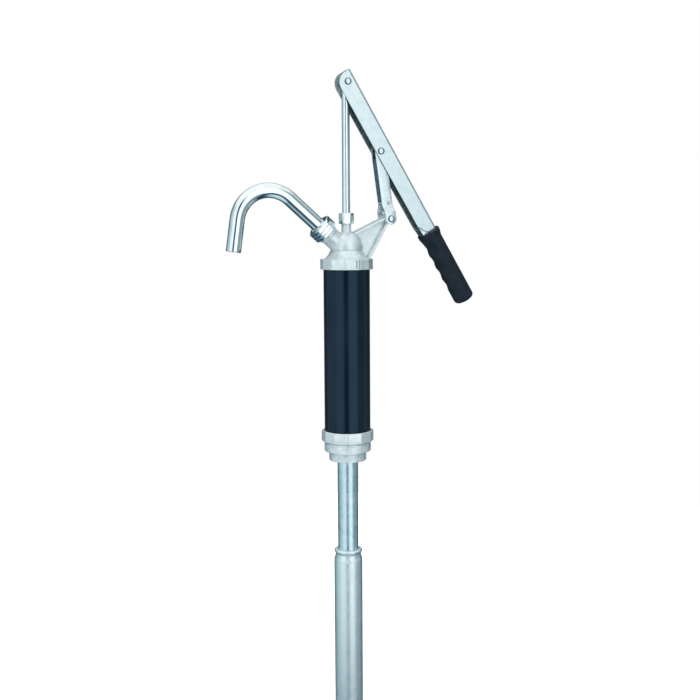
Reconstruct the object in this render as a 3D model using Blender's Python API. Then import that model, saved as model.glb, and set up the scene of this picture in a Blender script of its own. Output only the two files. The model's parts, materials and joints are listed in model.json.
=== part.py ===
"""Lever-action drum barrel pump, built from separate named pieces.

Frame: metres, +Z up along the pump cylinder, the spout towards -X and the lever
towards +X.  The origin is on the pump's axis, at the shoulder under the bung
adaptor's flange, the face that comes down on the drum's bung.
"""

from math import acos, asin, atan2, cos, hypot, pi, radians, sin, sqrt, tau

import bmesh
import bpy
from mathutils import Matrix, Vector

MM = 0.001
GAP = 0.3 * MM              # between pieces that touch or run on each other
OVER = 1.0 * MM             # how far a cutter or a joined solid runs past a face

# ---------------------------------------------------------------- driving dimensions
# Pump cylinder
TUBE_R = 30.0 * MM
TUBE_WALL = 1.5 * MM
TUBE_TOP_Z = 234.1 * MM
HEAD_SEAT_Z = 235.8 * MM    # face of the head that the upper gasket seals on

# Bung adaptor: 2 inch and 1.5 inch pipe threads under a twelve-sided flange
COLLAR_SIDES = 12           # of the adaptor's flange and of the head's collar
FLANGE_CORNER_R = 34.2 * MM
FLANGE_H = 14.3 * MM
FLANGE_TURN = radians(10.2)
THREAD_2IN_R = 29.8 * MM
THREAD_2IN_H = 13.2 * MM
THREAD_15IN_R = 23.9 * MM
THREAD_15IN_H = 12.4 * MM
LIP_R = 15.6 * MM
LIP_H = 1.5 * MM
SOCKET_FLOOR_Z = 2.0 * MM
PORT_R = 11.0 * MM

# Pump head casting
COLLAR_CORNER_R = 34.2 * MM
COLLAR_BOTTOM_Z = 224.0 * MM
COLLAR_TOP_Z = 237.4 * MM
COLLAR_TURN = radians(4.6)
DOME_Z = 251.0 * MM
DOME_R = 21.3 * MM
SKIRT_TOP_Z = 248.4 * MM    # crease where the skirt flares out from under the dome
SKIRT_R = 18.1 * MM
SKIRT_SLOPES = (radians(15.0), radians(60.0))   # from upright, at its top and foot
NECK_R = 6.3 * MM
NECK_TOP_Z = 284.5 * MM

# Rod and gland
ROD_R = 5.0 * MM
NUT_BOTTOM_Z = 282.0 * MM
NUT_TOP_Z = 295.8 * MM
NUT_FLATS = 17.8 * MM
NUT_TURN = radians(43.0)
BUSH_R = 8.2 * MM
BUSH_BOTTOM_Z = 258.5 * MM
BUSH_TOP_Z = 267.7 * MM
PACKING_TOP_Z = 289.4 * MM
FOLLOWER_H = 2.0 * MM

# Spout: leaves the dome up and to the left, bends over and points down
SPOUT_AXIS_Z = 247.0 * MM   # height at which the boss's axis crosses the pump's axis
SPOUT_SLOPE = radians(41.2)
SPOUT_R = 9.5 * MM
SPOUT_WALL = 1.5 * MM
SPOUT_BEND_START = 101.2 * MM
SPOUT_BEND_R = 41.5 * MM
SPOUT_BEND = radians(123.0)
SPOUT_LEG = 40.6 * MM
SPOUT_START = 41.6 * MM
BOSS_R = 12.0 * MM
BOSS_RING_R = 13.2 * MM
BOSS_END = 39.4 * MM
UNION_START = 35.8 * MM
UNION_END = 50.8 * MM
UNION_FLATS = 30.6 * MM
UNION_TURN = radians(54.0)
FERRULE_R = 11.6 * MM
FERRULE_H = 2.6 * MM

# Lever linkage, in the XZ plane
ROD_PIVOT = Vector((0.0, 0.0, 460.0 * MM))
LUG_PIVOT = Vector((57.5 * MM, 0.0, 288.2 * MM))
LEVER_FROM_DOWN = radians(31.4)       # lever direction, measured from straight down
LINK_PIVOT_ALONG = 96.5 * MM          # link pivot on the lever, from the rod pivot
LINK_PIVOT_OFF = -6.0 * MM

# Lever channel, along its own axis from the rod pivot
CHANNEL_HALF_W = 9.0 * MM
CHANNEL_SHEET = 1.8 * MM
CHANNEL_WEB = 10.9 * MM
CHANNEL_OPEN = -12.6 * MM
CHANNEL_TOP = -12.0 * MM
CHANNEL_END_R = 15.0 * MM
NECK_DOWN_START = 211.0 * MM
NECK_DOWN_END = 232.0 * MM
TANG_HALF_W = 6.8 * MM
TANG_HALF_D = 6.8 * MM
TANG_END = 316.0 * MM
PIN_R = 3.0 * MM
RIVET_HEAD_R = 4.5 * MM
RIVET_HEAD_H = 2.3 * MM
EYE_R = 7.4 * MM            # flat eye at the rod's top, between the lever's cheeks
EYE_HALF = 6.0 * MM

# Hand grip
GRIP_START = 221.5 * MM
GRIP_END = 329.0 * MM
GRIP_R = 13.8 * MM
GRIP_FLANGE_R = 15.6 * MM
GRIP_BORE_R = 10.2 * MM
GRIP_MOUTH_BORE_R = 13.4 * MM
GRIP_OFFSET = 1.0 * MM      # the grip's centre above the lever's axis
HOLLOW_START = 232.0 * MM
HOLLOW_PITCH = 19.0 * MM
HOLLOW_DEPTH = 1.6 * MM

# Link: channel arm that straddles the lug's boss
LINK_HALF_W = 7.4 * MM
LINK_SHEET = 1.8 * MM
LINK_NECK_Y = 6.7 * MM
LINK_FORK_Y = 13.0 * MM
LINK_FLARE_START = 18.0 * MM
LINK_FLARE_END = 10.0 * MM
LUG_BOSS_R = 6.5 * MM
LUG_BOSS_HALF = 10.8 * MM
LUG_BUSH_R = 4.6 * MM
LUG_FLANGE_HALF = 9.0 * MM
LUG_PLATE = 3.0 * MM

# Telescoping suction pipe
UPPER_R = 13.5 * MM
UPPER_WALL = 1.4 * MM
UPPER_TOP_Z = -10.4 * MM
UPPER_BOTTOM_Z = -512.0 * MM
LOWER_R = 18.75 * MM
LOWER_WALL = 1.5 * MM
LOWER_TOP_Z = -146.3 * MM
LOWER_BOTTOM_Z = -552.0 * MM
SHOULDER_DROP = 15.4 * MM   # rolled top, down to where the full bore starts
FOOT_BOTTOM_Z = -566.0 * MM

# Piston, at the top of its stroke
PISTON_Z = 124.0 * MM
PISTON_R = 27.6 * MM
PISTON_H = 10.0 * MM
CUP_R = 28.2 * MM
CUP_H = 12.0 * MM
CUP_SHEET = 2.0 * MM
VALVE_H = 2.5 * MM
VALVE_LIFT = 5.0 * MM

# Foot valve, standing on the adaptor's socket floor
FOOT_DISC_R = 17.0 * MM
FOOT_DISC_H = 3.0 * MM
CAGE_R = 21.0 * MM
CAGE_FLANGE_R = 24.6 * MM
CAGE_TOP_Z = 14.5 * MM

ROUND = 28                  # segments of the large round pieces
SMALL_ROUND = 16

MATERIALS = {
    "cast_metal": ((0.62, 0.65, 0.66), 0.42, 1.0),
    "black_paint": ((0.012, 0.018, 0.028), 0.30, 0.0),
    "chrome_plate": ((0.80, 0.84, 0.86), 0.10, 1.0),
    "zinc_plate": ((0.70, 0.76, 0.78), 0.28, 1.0),
    "black_rubber": ((0.02, 0.022, 0.028), 0.62, 0.0),
    "seal_rubber": ((0.03, 0.03, 0.03), 0.70, 0.0),
    "brass": ((0.70, 0.52, 0.22), 0.30, 1.0),
    "plain_steel": ((0.50, 0.51, 0.52), 0.35, 1.0),
}


# ---------------------------------------------------------------- shared helpers
def clear_scene():
    for obj in list(bpy.data.objects):
        bpy.data.objects.remove(obj, do_unlink=True)


def material(slot):
    found = bpy.data.materials.get(slot)
    if found:
        return found
    colour, roughness, metallic = MATERIALS[slot]
    made = bpy.data.materials.new(slot)
    made.use_nodes = True
    shader = made.node_tree.nodes["Principled BSDF"]
    shader.inputs["Base Color"].default_value = (*colour, 1.0)
    shader.inputs["Roughness"].default_value = roughness
    shader.inputs["Metallic"].default_value = metallic
    return made


def add_object(name, bm, slot=None, parent=None):
    """Turns a bmesh into an object whose faces point out."""
    bmesh.ops.recalc_face_normals(bm, faces=bm.faces)
    mesh = bpy.data.meshes.new(name)
    bm.to_mesh(mesh)
    bm.free()
    mesh.shade_smooth()
    mesh.set_sharp_from_angle(angle=radians(35.0))
    obj = bpy.data.objects.new(name, mesh)
    bpy.context.scene.collection.objects.link(obj)
    if slot:
        mesh.materials.append(material(slot))
    if parent:
        obj.parent = parent
    return obj


def add_guide(name, bm, parent=None):
    """A solid that only cuts or joins another one."""
    guide = add_object(name, bm, parent=parent)
    guide.hide_render = True
    guide.display_type = "WIRE"
    return guide


def combine(obj, guides, operation):
    for guide in guides:
        boolean = obj.modifiers.new(guide.name, "BOOLEAN")
        boolean.operation = operation
        boolean.solver = "EXACT"
        boolean.object = guide


def add_empty(name, location, turn_y=0.0, parent=None):
    empty = bpy.data.objects.new(name, None)
    bpy.context.scene.collection.objects.link(empty)
    empty.location = location
    empty.rotation_euler = (0.0, turn_y, 0.0)
    empty.parent = parent
    return empty


def loft(sections, closed=False):
    """Joins loops of points into one closed solid: capped, or a ring when closed."""
    bm = bmesh.new()
    rings = [[bm.verts.new(point) for point in section] for section in sections]
    count = len(rings[0])
    spans = list(zip(rings, rings[1:]))
    if closed:
        spans.append((rings[-1], rings[0]))
    for lower, upper in spans:
        for i in range(count):
            j = (i + 1) % count
            bm.faces.new((lower[i], lower[j], upper[j], upper[i]))
    if not closed:
        bm.faces.new(rings[0])
        bm.faces.new(rings[-1])
    return bm


def circle(radius, z, segments, turn=0.0):
    step = tau / segments
    return [(radius * cos(turn + step * i), radius * sin(turn + step * i), z)
            for i in range(segments)]


def turned(profile, segments=ROUND):
    """Solid turned about Z from (radius, z) points that start and end as flat ends."""
    return loft([circle(radius, z, segments) for radius, z in profile])


def turned_ring(profile, segments=ROUND):
    """Ring turned about Z from a closed loop of (radius, z) points."""
    return loft([circle(radius, z, segments) for radius, z in profile], closed=True)


def sleeve(inner_r, outer_r, z0, z1, segments=ROUND):
    return turned_ring([(inner_r, z0), (outer_r, z0), (outer_r, z1), (inner_r, z1)], segments)


def prism(flats, z0, z1, sides=6, turn=0.0):
    corner_r = flats / 2 / cos(pi / sides)
    return loft([circle(corner_r, z0, sides, turn), circle(corner_r, z1, sides, turn)])


def along_y(bm, x=0.0, z=0.0):
    """Lays a solid turned about Z along the Y axis through (x, z)."""
    lay = Matrix.Translation((x, 0.0, z)) @ Matrix.Rotation(radians(-90.0), 4, "X")
    bmesh.ops.transform(bm, matrix=lay, verts=bm.verts)
    return bm


def cross_pin(radius, half_length, x=0.0, z=0.0, segments=SMALL_ROUND):
    return along_y(turned([(radius, -half_length), (radius, half_length)], segments), x, z)


def box(low, high):
    corners = [(low[0], low[1]), (high[0], low[1]), (high[0], high[1]), (low[0], high[1])]
    return loft([[(x, y, z) for x, y in corners] for z in (low[2], high[2])])


def slab(start, end, thickness, half_width, side=-1):
    """Flat bar in the XZ plane whose one face runs from start to end."""
    x0, z0 = start
    x1, z1 = end
    length = hypot(x1 - x0, z1 - z0)
    off_x = -(z1 - z0) / length * thickness * side
    off_z = (x1 - x0) / length * thickness * side
    outline = [(x0, z0), (x1, z1), (x1 + off_x, z1 + off_z), (x0 + off_x, z0 + off_z)]
    return loft([[(x, y, z) for x, z in outline] for y in (-half_width, half_width)])


def rivet_profile(head_r, pin_r, head_z, tip_z):
    """Half of a rivet: domed head outside head_z, pin inwards to tip_z."""
    dome = [(head_r * cos(t), head_z + RIVET_HEAD_H * sin(t)) for t in
            (radians(75.0), radians(45.0), radians(18.0), 0.0)]
    return dome + [(pin_r, head_z), (pin_r, tip_z)]


# ---------------------------------------------------------------- cylinder and adaptor
def build_bung_adaptor():
    z2 = -THREAD_2IN_H
    z15 = z2 - THREAD_15IN_H
    flange_flats = 2 * FLANGE_CORNER_R * cos(pi / COLLAR_SIDES)
    adaptor = add_object("bung_adaptor",
                         prism(flange_flats, 0.0, FLANGE_H, COLLAR_SIDES, FLANGE_TURN),
                         "cast_metal")
    stub = add_guide("adaptor_stub", turned([
        (THREAD_2IN_R, OVER),
        (THREAD_2IN_R, z2),
        (THREAD_15IN_R, z2),
        (THREAD_15IN_R, z15),
        (LIP_R, z15),
        (LIP_R, z15 - LIP_H)]))
    cavity = add_guide("adaptor_cavity", turned([
        (TUBE_R + GAP, FLANGE_H + OVER),
        (TUBE_R + GAP, SOCKET_FLOOR_Z),
        (PORT_R, SOCKET_FLOOR_Z),
        (PORT_R, UPPER_TOP_Z + GAP),
        (UPPER_R + GAP, UPPER_TOP_Z + GAP),
        (UPPER_R + GAP, z15 - LIP_H - OVER)]))
    combine(adaptor, [stub], "UNION")
    combine(adaptor, [cavity], "DIFFERENCE")


def build_cylinder():
    gasket_h = 1.5 * MM
    gasket_z = SOCKET_FLOOR_Z + GAP
    gasket_top = gasket_z + gasket_h
    add_object("base_gasket", sleeve(CAGE_FLANGE_R + 0.4 * MM, TUBE_R, gasket_z, gasket_top),
               "seal_rubber")
    add_object("cylinder_tube",
               sleeve(TUBE_R - TUBE_WALL, TUBE_R, gasket_top + GAP, TUBE_TOP_Z), "black_paint")
    gasket_inner_r = 27.4 * MM
    add_object("head_gasket",
               sleeve(gasket_inner_r, TUBE_R, TUBE_TOP_Z + GAP, HEAD_SEAT_Z - GAP),
               "seal_rubber")


# ---------------------------------------------------------------- pump head
def dome_profile():
    """Outer (radius, z) of the casting: flared skirt, dome and threaded neck."""
    crease_angle = asin((SKIRT_TOP_Z - DOME_Z) / DOME_R)
    crease_r = DOME_R * cos(crease_angle)
    first, last = SKIRT_SLOPES
    slopes = [last + (first - last) * i / 4 for i in range(5)]
    skirt = [(crease_r + SKIRT_R * (cos(first) - cos(slope)),
              SKIRT_TOP_Z - SKIRT_R * (sin(slope) - sin(first))) for slope in slopes]
    neck_angle = acos(NECK_R / DOME_R)
    angles = [crease_angle + (neck_angle - crease_angle) * i / 8 for i in range(1, 9)]
    dome = [(DOME_R * cos(angle), DOME_Z + DOME_R * sin(angle)) for angle in angles]
    return [(skirt[0][0], COLLAR_TOP_Z - OVER)] + skirt + dome + [(NECK_R, NECK_TOP_Z)]


def cavity_profile():
    """Inside of the casting: seat for the cylinder, chamber, ceiling and rod bore."""
    inner_r = 18.0 * MM
    ceiling_z = 262.0 * MM
    ceiling_angle = asin((ceiling_z - DOME_Z) / inner_r)
    dome = [(inner_r * cos(ceiling_angle * i / 3), DOME_Z + inner_r * sin(ceiling_angle * i / 3))
            for i in range(4)]
    bush_seat_r = BUSH_R + GAP
    bush_seat_z = BUSH_TOP_Z + GAP
    return [(TUBE_R + GAP, COLLAR_BOTTOM_Z - OVER),
            (TUBE_R + GAP, HEAD_SEAT_Z),
            (26.0 * MM, HEAD_SEAT_Z),
            (22.0 * MM, 241.0 * MM)] + dome + [
            (bush_seat_r, ceiling_z),
            (bush_seat_r, bush_seat_z),
            (ROD_R + GAP, bush_seat_z),
            (ROD_R + GAP, NECK_TOP_Z + OVER)]


def lug_web():
    """Thin plate between the bracket's two flanges."""
    outline = [(12.0 * MM, 268.0 * MM),
               (LUG_PIVOT.x, LUG_PIVOT.z + 2.0 * MM),
               (LUG_PIVOT.x - 1.5 * MM, LUG_PIVOT.z - 4.0 * MM),
               (29.0 * MM, 239.0 * MM),
               (24.0 * MM, 239.0 * MM),
               (20.0 * MM, 250.0 * MM)]
    half = 1.9 * MM
    return loft([[(x, y, z) for x, z in outline] for y in (-half, half)])


def build_pump_head(spout_axis):
    collar_flats = 2 * COLLAR_CORNER_R * cos(pi / COLLAR_SIDES)
    head = add_object("pump_head",
                      prism(collar_flats, COLLAR_BOTTOM_Z, COLLAR_TOP_Z, COLLAR_SIDES,
                            COLLAR_TURN), "cast_metal")
    boss = turned([(BOSS_R, 8.0 * MM), (BOSS_R, 31.5 * MM), (BOSS_RING_R, 32.0 * MM),
                   (BOSS_RING_R, 34.6 * MM), (BOSS_R, 35.2 * MM), (BOSS_R, BOSS_END)])
    joined = [
        add_guide("head_dome", turned(dome_profile())),
        add_guide("head_spout_boss", boss, spout_axis),
        add_guide("lug_web", lug_web()),
        add_guide("lug_top_flange",
                  slab((8.0 * MM, 270.3 * MM), (LUG_PIVOT.x, LUG_PIVOT.z + 4.9 * MM),
                       LUG_PLATE, LUG_FLANGE_HALF)),
        add_guide("lug_lower_flange",
                  slab((29.6 * MM, 236.8 * MM), (LUG_PIVOT.x + 1.4 * MM, LUG_PIVOT.z),
                       LUG_PLATE, LUG_FLANGE_HALF, side=1)),
        add_guide("lug_boss",
                  cross_pin(LUG_BOSS_R, LUG_BOSS_HALF, LUG_PIVOT.x, LUG_PIVOT.z)),
    ]
    cut = [
        add_guide("head_cavity", turned(cavity_profile())),
        add_guide("head_spout_bore",
                  turned([(SPOUT_R - SPOUT_WALL, 10.0 * MM),
                          (SPOUT_R - SPOUT_WALL, BOSS_END + OVER)], SMALL_ROUND), spout_axis),
        add_guide("lug_bore",
                  cross_pin(LUG_BUSH_R + GAP, LUG_BOSS_HALF + OVER, LUG_PIVOT.x, LUG_PIVOT.z)),
    ]
    combine(head, joined, "UNION")
    combine(head, cut, "DIFFERENCE")


def build_gland():
    bore = ROD_R + GAP
    follower_z = PACKING_TOP_Z + GAP
    ceiling_z = follower_z + FOLLOWER_H + GAP
    add_object("rod_guide_bush", sleeve(bore, BUSH_R, BUSH_BOTTOM_Z, BUSH_TOP_Z, SMALL_ROUND),
               "brass")
    add_object("gland_packing",
               sleeve(bore, NECK_R, NECK_TOP_Z + GAP, PACKING_TOP_Z, SMALL_ROUND),
               "seal_rubber")
    add_object("gland_follower",
               sleeve(bore, NECK_R, follower_z, follower_z + FOLLOWER_H, SMALL_ROUND), "brass")
    nut = add_object("gland_nut", prism(NUT_FLATS, NUT_BOTTOM_Z, NUT_TOP_Z, turn=NUT_TURN),
                     "chrome_plate")
    combine(nut, [add_guide("gland_nut_bore", turned([
        (NECK_R + GAP, NUT_BOTTOM_Z - OVER),
        (NECK_R + GAP, ceiling_z),
        (bore, ceiling_z),
        (bore, NUT_TOP_Z + OVER)], SMALL_ROUND))], "DIFFERENCE")


# ---------------------------------------------------------------- valves and piston
def build_foot_valve():
    seat_z = SOCKET_FLOOR_Z + GAP
    lift = add_empty("foot_valve_lift", (0.0, 0.0, seat_z))
    add_object("foot_valve_disc", turned([(FOOT_DISC_R, 0.0), (FOOT_DISC_R, FOOT_DISC_H)]),
               "seal_rubber", lift)
    flange_top_z = 4.6 * MM
    cage = add_object("foot_valve_cage", turned([
        (CAGE_FLANGE_R, seat_z),
        (CAGE_FLANGE_R, flange_top_z),
        (CAGE_R, flange_top_z),
        (CAGE_R, CAGE_TOP_Z)]), "plain_steel")
    pocket_r = FOOT_DISC_R + OVER
    pocket_top_z = 12.0 * MM
    top_hole_r = 7.0 * MM
    pocket = add_guide("cage_pocket", turned([
        (pocket_r, seat_z - OVER), (pocket_r, pocket_top_z), (top_hole_r, pocket_top_z),
        (top_hole_r, CAGE_TOP_Z + OVER)]))
    reach = CAGE_FLANGE_R + OVER
    half = 8.0 * MM
    low = flange_top_z + OVER
    high = 11.6 * MM
    window_x = add_guide("cage_window_x", box((-reach, -half, low), (reach, half, high)))
    window_y = add_guide("cage_window_y", box((-half, -reach, low), (half, reach, high)))
    combine(cage, [pocket, window_x, window_y], "DIFFERENCE")


def build_rod(rod_slide):
    """Rod with a flat eye at the top; heights are measured from the rod pivot."""
    thread_h = 12.0 * MM
    foot = PISTON_Z - ROD_PIVOT.z - thread_h
    rod = add_object("piston_rod", turned([(ROD_R, foot), (ROD_R, -4.0 * MM)]),
                     "chrome_plate", rod_slide)
    eye = add_guide("rod_eye", cross_pin(EYE_R, EYE_HALF), rod_slide)
    bore = add_guide("rod_eye_bore", cross_pin(PIN_R + GAP, EYE_HALF + OVER), rod_slide)
    combine(rod, [eye], "UNION")
    combine(rod, [bore], "DIFFERENCE")


def build_piston(rod_slide):
    base = PISTON_Z - ROD_PIVOT.z
    top = base + PISTON_H
    bore = ROD_R + GAP
    body = add_object("piston_body", sleeve(bore, PISTON_R, base, top), "plain_steel",
                      rod_slide)
    ports = 4
    port_r = 4.4 * MM
    port_ring_r = 14.0 * MM
    port_segments = 12
    cutters = []
    for i in range(ports):
        port = turned([(port_r, base - OVER), (port_r, top + OVER)], port_segments)
        angle = tau * (i + 0.5) / ports
        offset = (port_ring_r * cos(angle), port_ring_r * sin(angle), 0.0)
        bmesh.ops.translate(port, vec=offset, verts=port.verts)
        cutters.append(add_guide(f"piston_port_{i}", port, rod_slide))
    combine(body, cutters, "DIFFERENCE")

    cup_z = top + GAP
    cup_hole_r = 20.2 * MM
    add_object("piston_cup", turned_ring([
        (cup_hole_r, cup_z),
        (CUP_R, cup_z),
        (CUP_R, cup_z + CUP_H),
        (CUP_R - CUP_SHEET, cup_z + CUP_H),
        (CUP_R - CUP_SHEET, cup_z + CUP_SHEET),
        (cup_hole_r, cup_z + CUP_SHEET)]), "seal_rubber", rod_slide)
    retainer_z = cup_z + CUP_SHEET + GAP
    retainer_h = 2.2 * MM
    add_object("cup_retainer",
               sleeve(cup_hole_r + GAP, CUP_R - CUP_SHEET - GAP, retainer_z,
                      retainer_z + retainer_h), "plain_steel", rod_slide)
    stop_z = cup_z + VALVE_H + VALVE_LIFT + GAP
    stop_r = 12.0 * MM
    stop_h = 2.8 * MM
    add_object("piston_valve_stop", sleeve(bore, stop_r, stop_z, stop_z + stop_h, SMALL_ROUND),
               "plain_steel", rod_slide)
    washer_r = 11.0 * MM
    washer_z = base - 2.0 * MM
    add_object("piston_washer", sleeve(bore, washer_r, washer_z, base - GAP, SMALL_ROUND),
               "plain_steel", rod_slide)
    nut_flats = 17.0 * MM
    nut_top = washer_z - GAP
    nut_z = nut_top - 7.7 * MM
    nut = add_object("piston_nut", prism(nut_flats, nut_z, nut_top), "plain_steel", rod_slide)
    combine(nut, [add_guide("piston_nut_bore",
                            turned([(bore, nut_z - OVER), (bore, nut_top + OVER)], SMALL_ROUND),
                            rod_slide)], "DIFFERENCE")

    valve_hole_r = ROD_R + OVER
    valve_r = cup_hole_r - 0.8 * MM
    valve_lift = add_empty("piston_valve_lift", (0.0, 0.0, cup_z), parent=rod_slide)
    add_object("piston_valve_disc", sleeve(valve_hole_r, valve_r, 0.0, VALVE_H), "seal_rubber",
               valve_lift)


# ---------------------------------------------------------------- spout
def spout_path():
    """Centreline in the boss's frame (Z along the boss, bend towards -X): point and tangent."""
    path = [(Vector((0.0, 0.0, z)), Vector((0.0, 0.0, 1.0)))
            for z in (SPOUT_START, SPOUT_BEND_START)]
    steps = 12
    for i in range(1, steps + 1):
        t = SPOUT_BEND * i / steps
        point = Vector((-SPOUT_BEND_R * (1 - cos(t)), 0.0,
                        SPOUT_BEND_START + SPOUT_BEND_R * sin(t)))
        path.append((point, Vector((-sin(t), 0.0, cos(t)))))
    point, tangent = path[-1]
    path.append((point + tangent * SPOUT_LEG, tangent))
    return path


def spout_rings(radius, segments=SMALL_ROUND):
    rings = []
    for point, tangent in spout_path():
        across = Vector((0.0, 1.0, 0.0))
        side = across.cross(tangent)
        rings.append([point + (side * cos(tau * i / segments)
                               + across * sin(tau * i / segments)) * radius
                      for i in range(segments)])
    return rings


def build_spout(spout_axis):
    inner_r = SPOUT_R - SPOUT_WALL
    tube = loft(spout_rings(SPOUT_R) + spout_rings(inner_r)[::-1], closed=True)
    add_object("spout_tube", tube, "chrome_plate", spout_axis)
    ferrule_end = SPOUT_START + FERRULE_H
    add_object("spout_ferrule",
               sleeve(SPOUT_R + GAP, FERRULE_R, SPOUT_START, ferrule_end), "chrome_plate",
               spout_axis)
    add_object("spout_gasket",
               sleeve(inner_r + GAP, FERRULE_R, BOSS_END + GAP, SPOUT_START - GAP, SMALL_ROUND),
               "seal_rubber", spout_axis)
    nut = add_object("union_nut", prism(UNION_FLATS, UNION_START, UNION_END,
                                        turn=UNION_TURN), "chrome_plate", spout_axis)
    throat = ferrule_end + GAP
    combine(nut, [add_guide("union_nut_bore", turned([
        (BOSS_R + GAP, UNION_START - OVER),
        (BOSS_R + GAP, throat),
        (SPOUT_R + 2 * GAP, throat),
        (SPOUT_R + 2 * GAP, UNION_END + OVER)]), spout_axis)], "DIFFERENCE")


# ---------------------------------------------------------------- lever
def channel_section(s, web, open_edge, half_width):
    """U section at distance s along the lever: web at +Z, open towards -Z."""
    corner = 2.4 * MM
    sheet = CHANNEL_SHEET
    bend = [(-half_width + corner - corner * cos(t), web - corner + corner * sin(t))
            for t in (0.0, radians(45.0), radians(90.0))]
    outer = [(-half_width, open_edge)] + bend
    inner = [(-half_width + sheet, web - sheet), (-half_width + sheet, open_edge)]
    left = outer
    right = [(-y, z) for y, z in reversed(outer)]
    inside = [(-y, z) for y, z in reversed(inner)] + inner
    return [(s, y, z) for y, z in left + right + inside]


def smooth_step(value, start, end):
    t = min(max((value - start) / (end - start), 0.0), 1.0)
    return t * t * (3 - 2 * t)


def channel_sections():
    centre = CHANNEL_TOP + CHANNEL_END_R
    sections = []
    for i in range(8):
        t = radians(90.0) * (i + 0.8) / 8
        s = centre - CHANNEL_END_R * cos(t)
        edge = CHANNEL_OPEN + CHANNEL_END_R * (1 - sin(t))
        sections.append(channel_section(s, CHANNEL_WEB, edge, CHANNEL_HALF_W))
    sections[0] = channel_section(CHANNEL_TOP, CHANNEL_WEB, sections[0][0][2] + 1.5 * MM,
                                  CHANNEL_HALF_W)
    for i in range(7):
        s = NECK_DOWN_START + (NECK_DOWN_END - NECK_DOWN_START) * i / 6
        part = smooth_step(s, NECK_DOWN_START, NECK_DOWN_END)
        sections.append(channel_section(
            s,
            CHANNEL_WEB + (TANG_HALF_D - CHANNEL_WEB) * part,
            CHANNEL_OPEN + (-TANG_HALF_D - CHANNEL_OPEN) * part,
            CHANNEL_HALF_W + (TANG_HALF_W - CHANNEL_HALF_W) * part))
    sections.append(channel_section(TANG_END, TANG_HALF_D, -TANG_HALF_D, TANG_HALF_W))
    return sections


def build_channel(lever):
    channel = add_object("handle_channel", loft(channel_sections()), "zinc_plate", lever)
    reach = CHANNEL_HALF_W + OVER
    holes = [
        add_guide("channel_rod_hole", cross_pin(PIN_R + GAP, reach), lever),
        add_guide("channel_link_hole",
                  cross_pin(PIN_R + GAP, reach, LINK_PIVOT_ALONG, LINK_PIVOT_OFF), lever),
    ]
    combine(channel, holes, "DIFFERENCE")


def through_rivet(half_grip):
    """Rivet along Y with a domed head at both ends."""
    half = rivet_profile(RIVET_HEAD_R, PIN_R, half_grip, 0.0)[:-1]
    other = [(radius, -z) for radius, z in reversed(half)]
    return along_y(turned(half + other, SMALL_ROUND))


def build_lever_rivets(lever):
    seat = CHANNEL_HALF_W + GAP
    add_object("rod_pivot_rivet", through_rivet(seat), "zinc_plate", lever)
    inner_face = CHANNEL_HALF_W - CHANNEL_SHEET
    for name, side in (("link_rivet_near", -1), ("link_rivet_far", 1)):
        profile = rivet_profile(RIVET_HEAD_R, PIN_R, seat, inner_face)
        stub = along_y(turned([(radius, side * z) for radius, z in profile], SMALL_ROUND),
                       LINK_PIVOT_ALONG, LINK_PIVOT_OFF)
        add_object(name, stub, "zinc_plate", lever)


def grip_radius(s, angle):
    """Grip surface: flange at the mouth, four shallow finger hollows on the -Z side."""
    mouth = GRIP_FLANGE_R - GRIP_R
    flare = mouth * (1 - smooth_step(s, GRIP_START + 4.0 * MM, GRIP_START + 13.0 * MM))
    last = HOLLOW_START + 4 * HOLLOW_PITCH
    wave = (1 - cos(tau * (s - HOLLOW_START) / HOLLOW_PITCH)) / 2
    fade = smooth_step(s, HOLLOW_START, HOLLOW_START + 2.0 * MM)
    fade *= 1 - smooth_step(s, last - 2.0 * MM, last)
    under = max(-cos(angle), 0.0) ** 1.5
    hollow = HOLLOW_DEPTH * wave * fade * under
    return GRIP_R + flare - hollow


def grip_section(s, inset=0.0, segments=SMALL_ROUND):
    points = []
    for i in range(segments):
        angle = tau * i / segments
        radius = grip_radius(s, angle) - inset
        points.append((s, radius * sin(angle), radius * cos(angle) + GRIP_OFFSET))
    return points


def build_grip(lever):
    edge = 4.0 * MM
    stations = [grip_section(GRIP_START, 0.8 * MM), grip_section(GRIP_START + 1.2 * MM)]
    run = 28
    first = GRIP_START + 4.0 * MM
    last = GRIP_END - edge
    for i in range(run + 1):
        stations.append(grip_section(first + (last - first) * i / run))
    for t in (radians(30.0), radians(60.0), radians(90.0)):
        stations.append(grip_section(last + edge * sin(t), edge * (1 - cos(t))))
    grip = add_object("hand_grip", loft(stations), "black_rubber", lever)
    bore = turned([(GRIP_MOUTH_BORE_R, GRIP_START - OVER),
                   (GRIP_MOUTH_BORE_R, GRIP_START + OVER),
                   (GRIP_BORE_R, NECK_DOWN_END + 2 * OVER),
                   (GRIP_BORE_R, TANG_END + GAP)], SMALL_ROUND)
    bmesh.ops.rotate(bore, matrix=Matrix.Rotation(radians(90.0), 3, "Y"), verts=bore.verts)
    combine(grip, [add_guide("grip_bore", bore, lever)], "DIFFERENCE")


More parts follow.
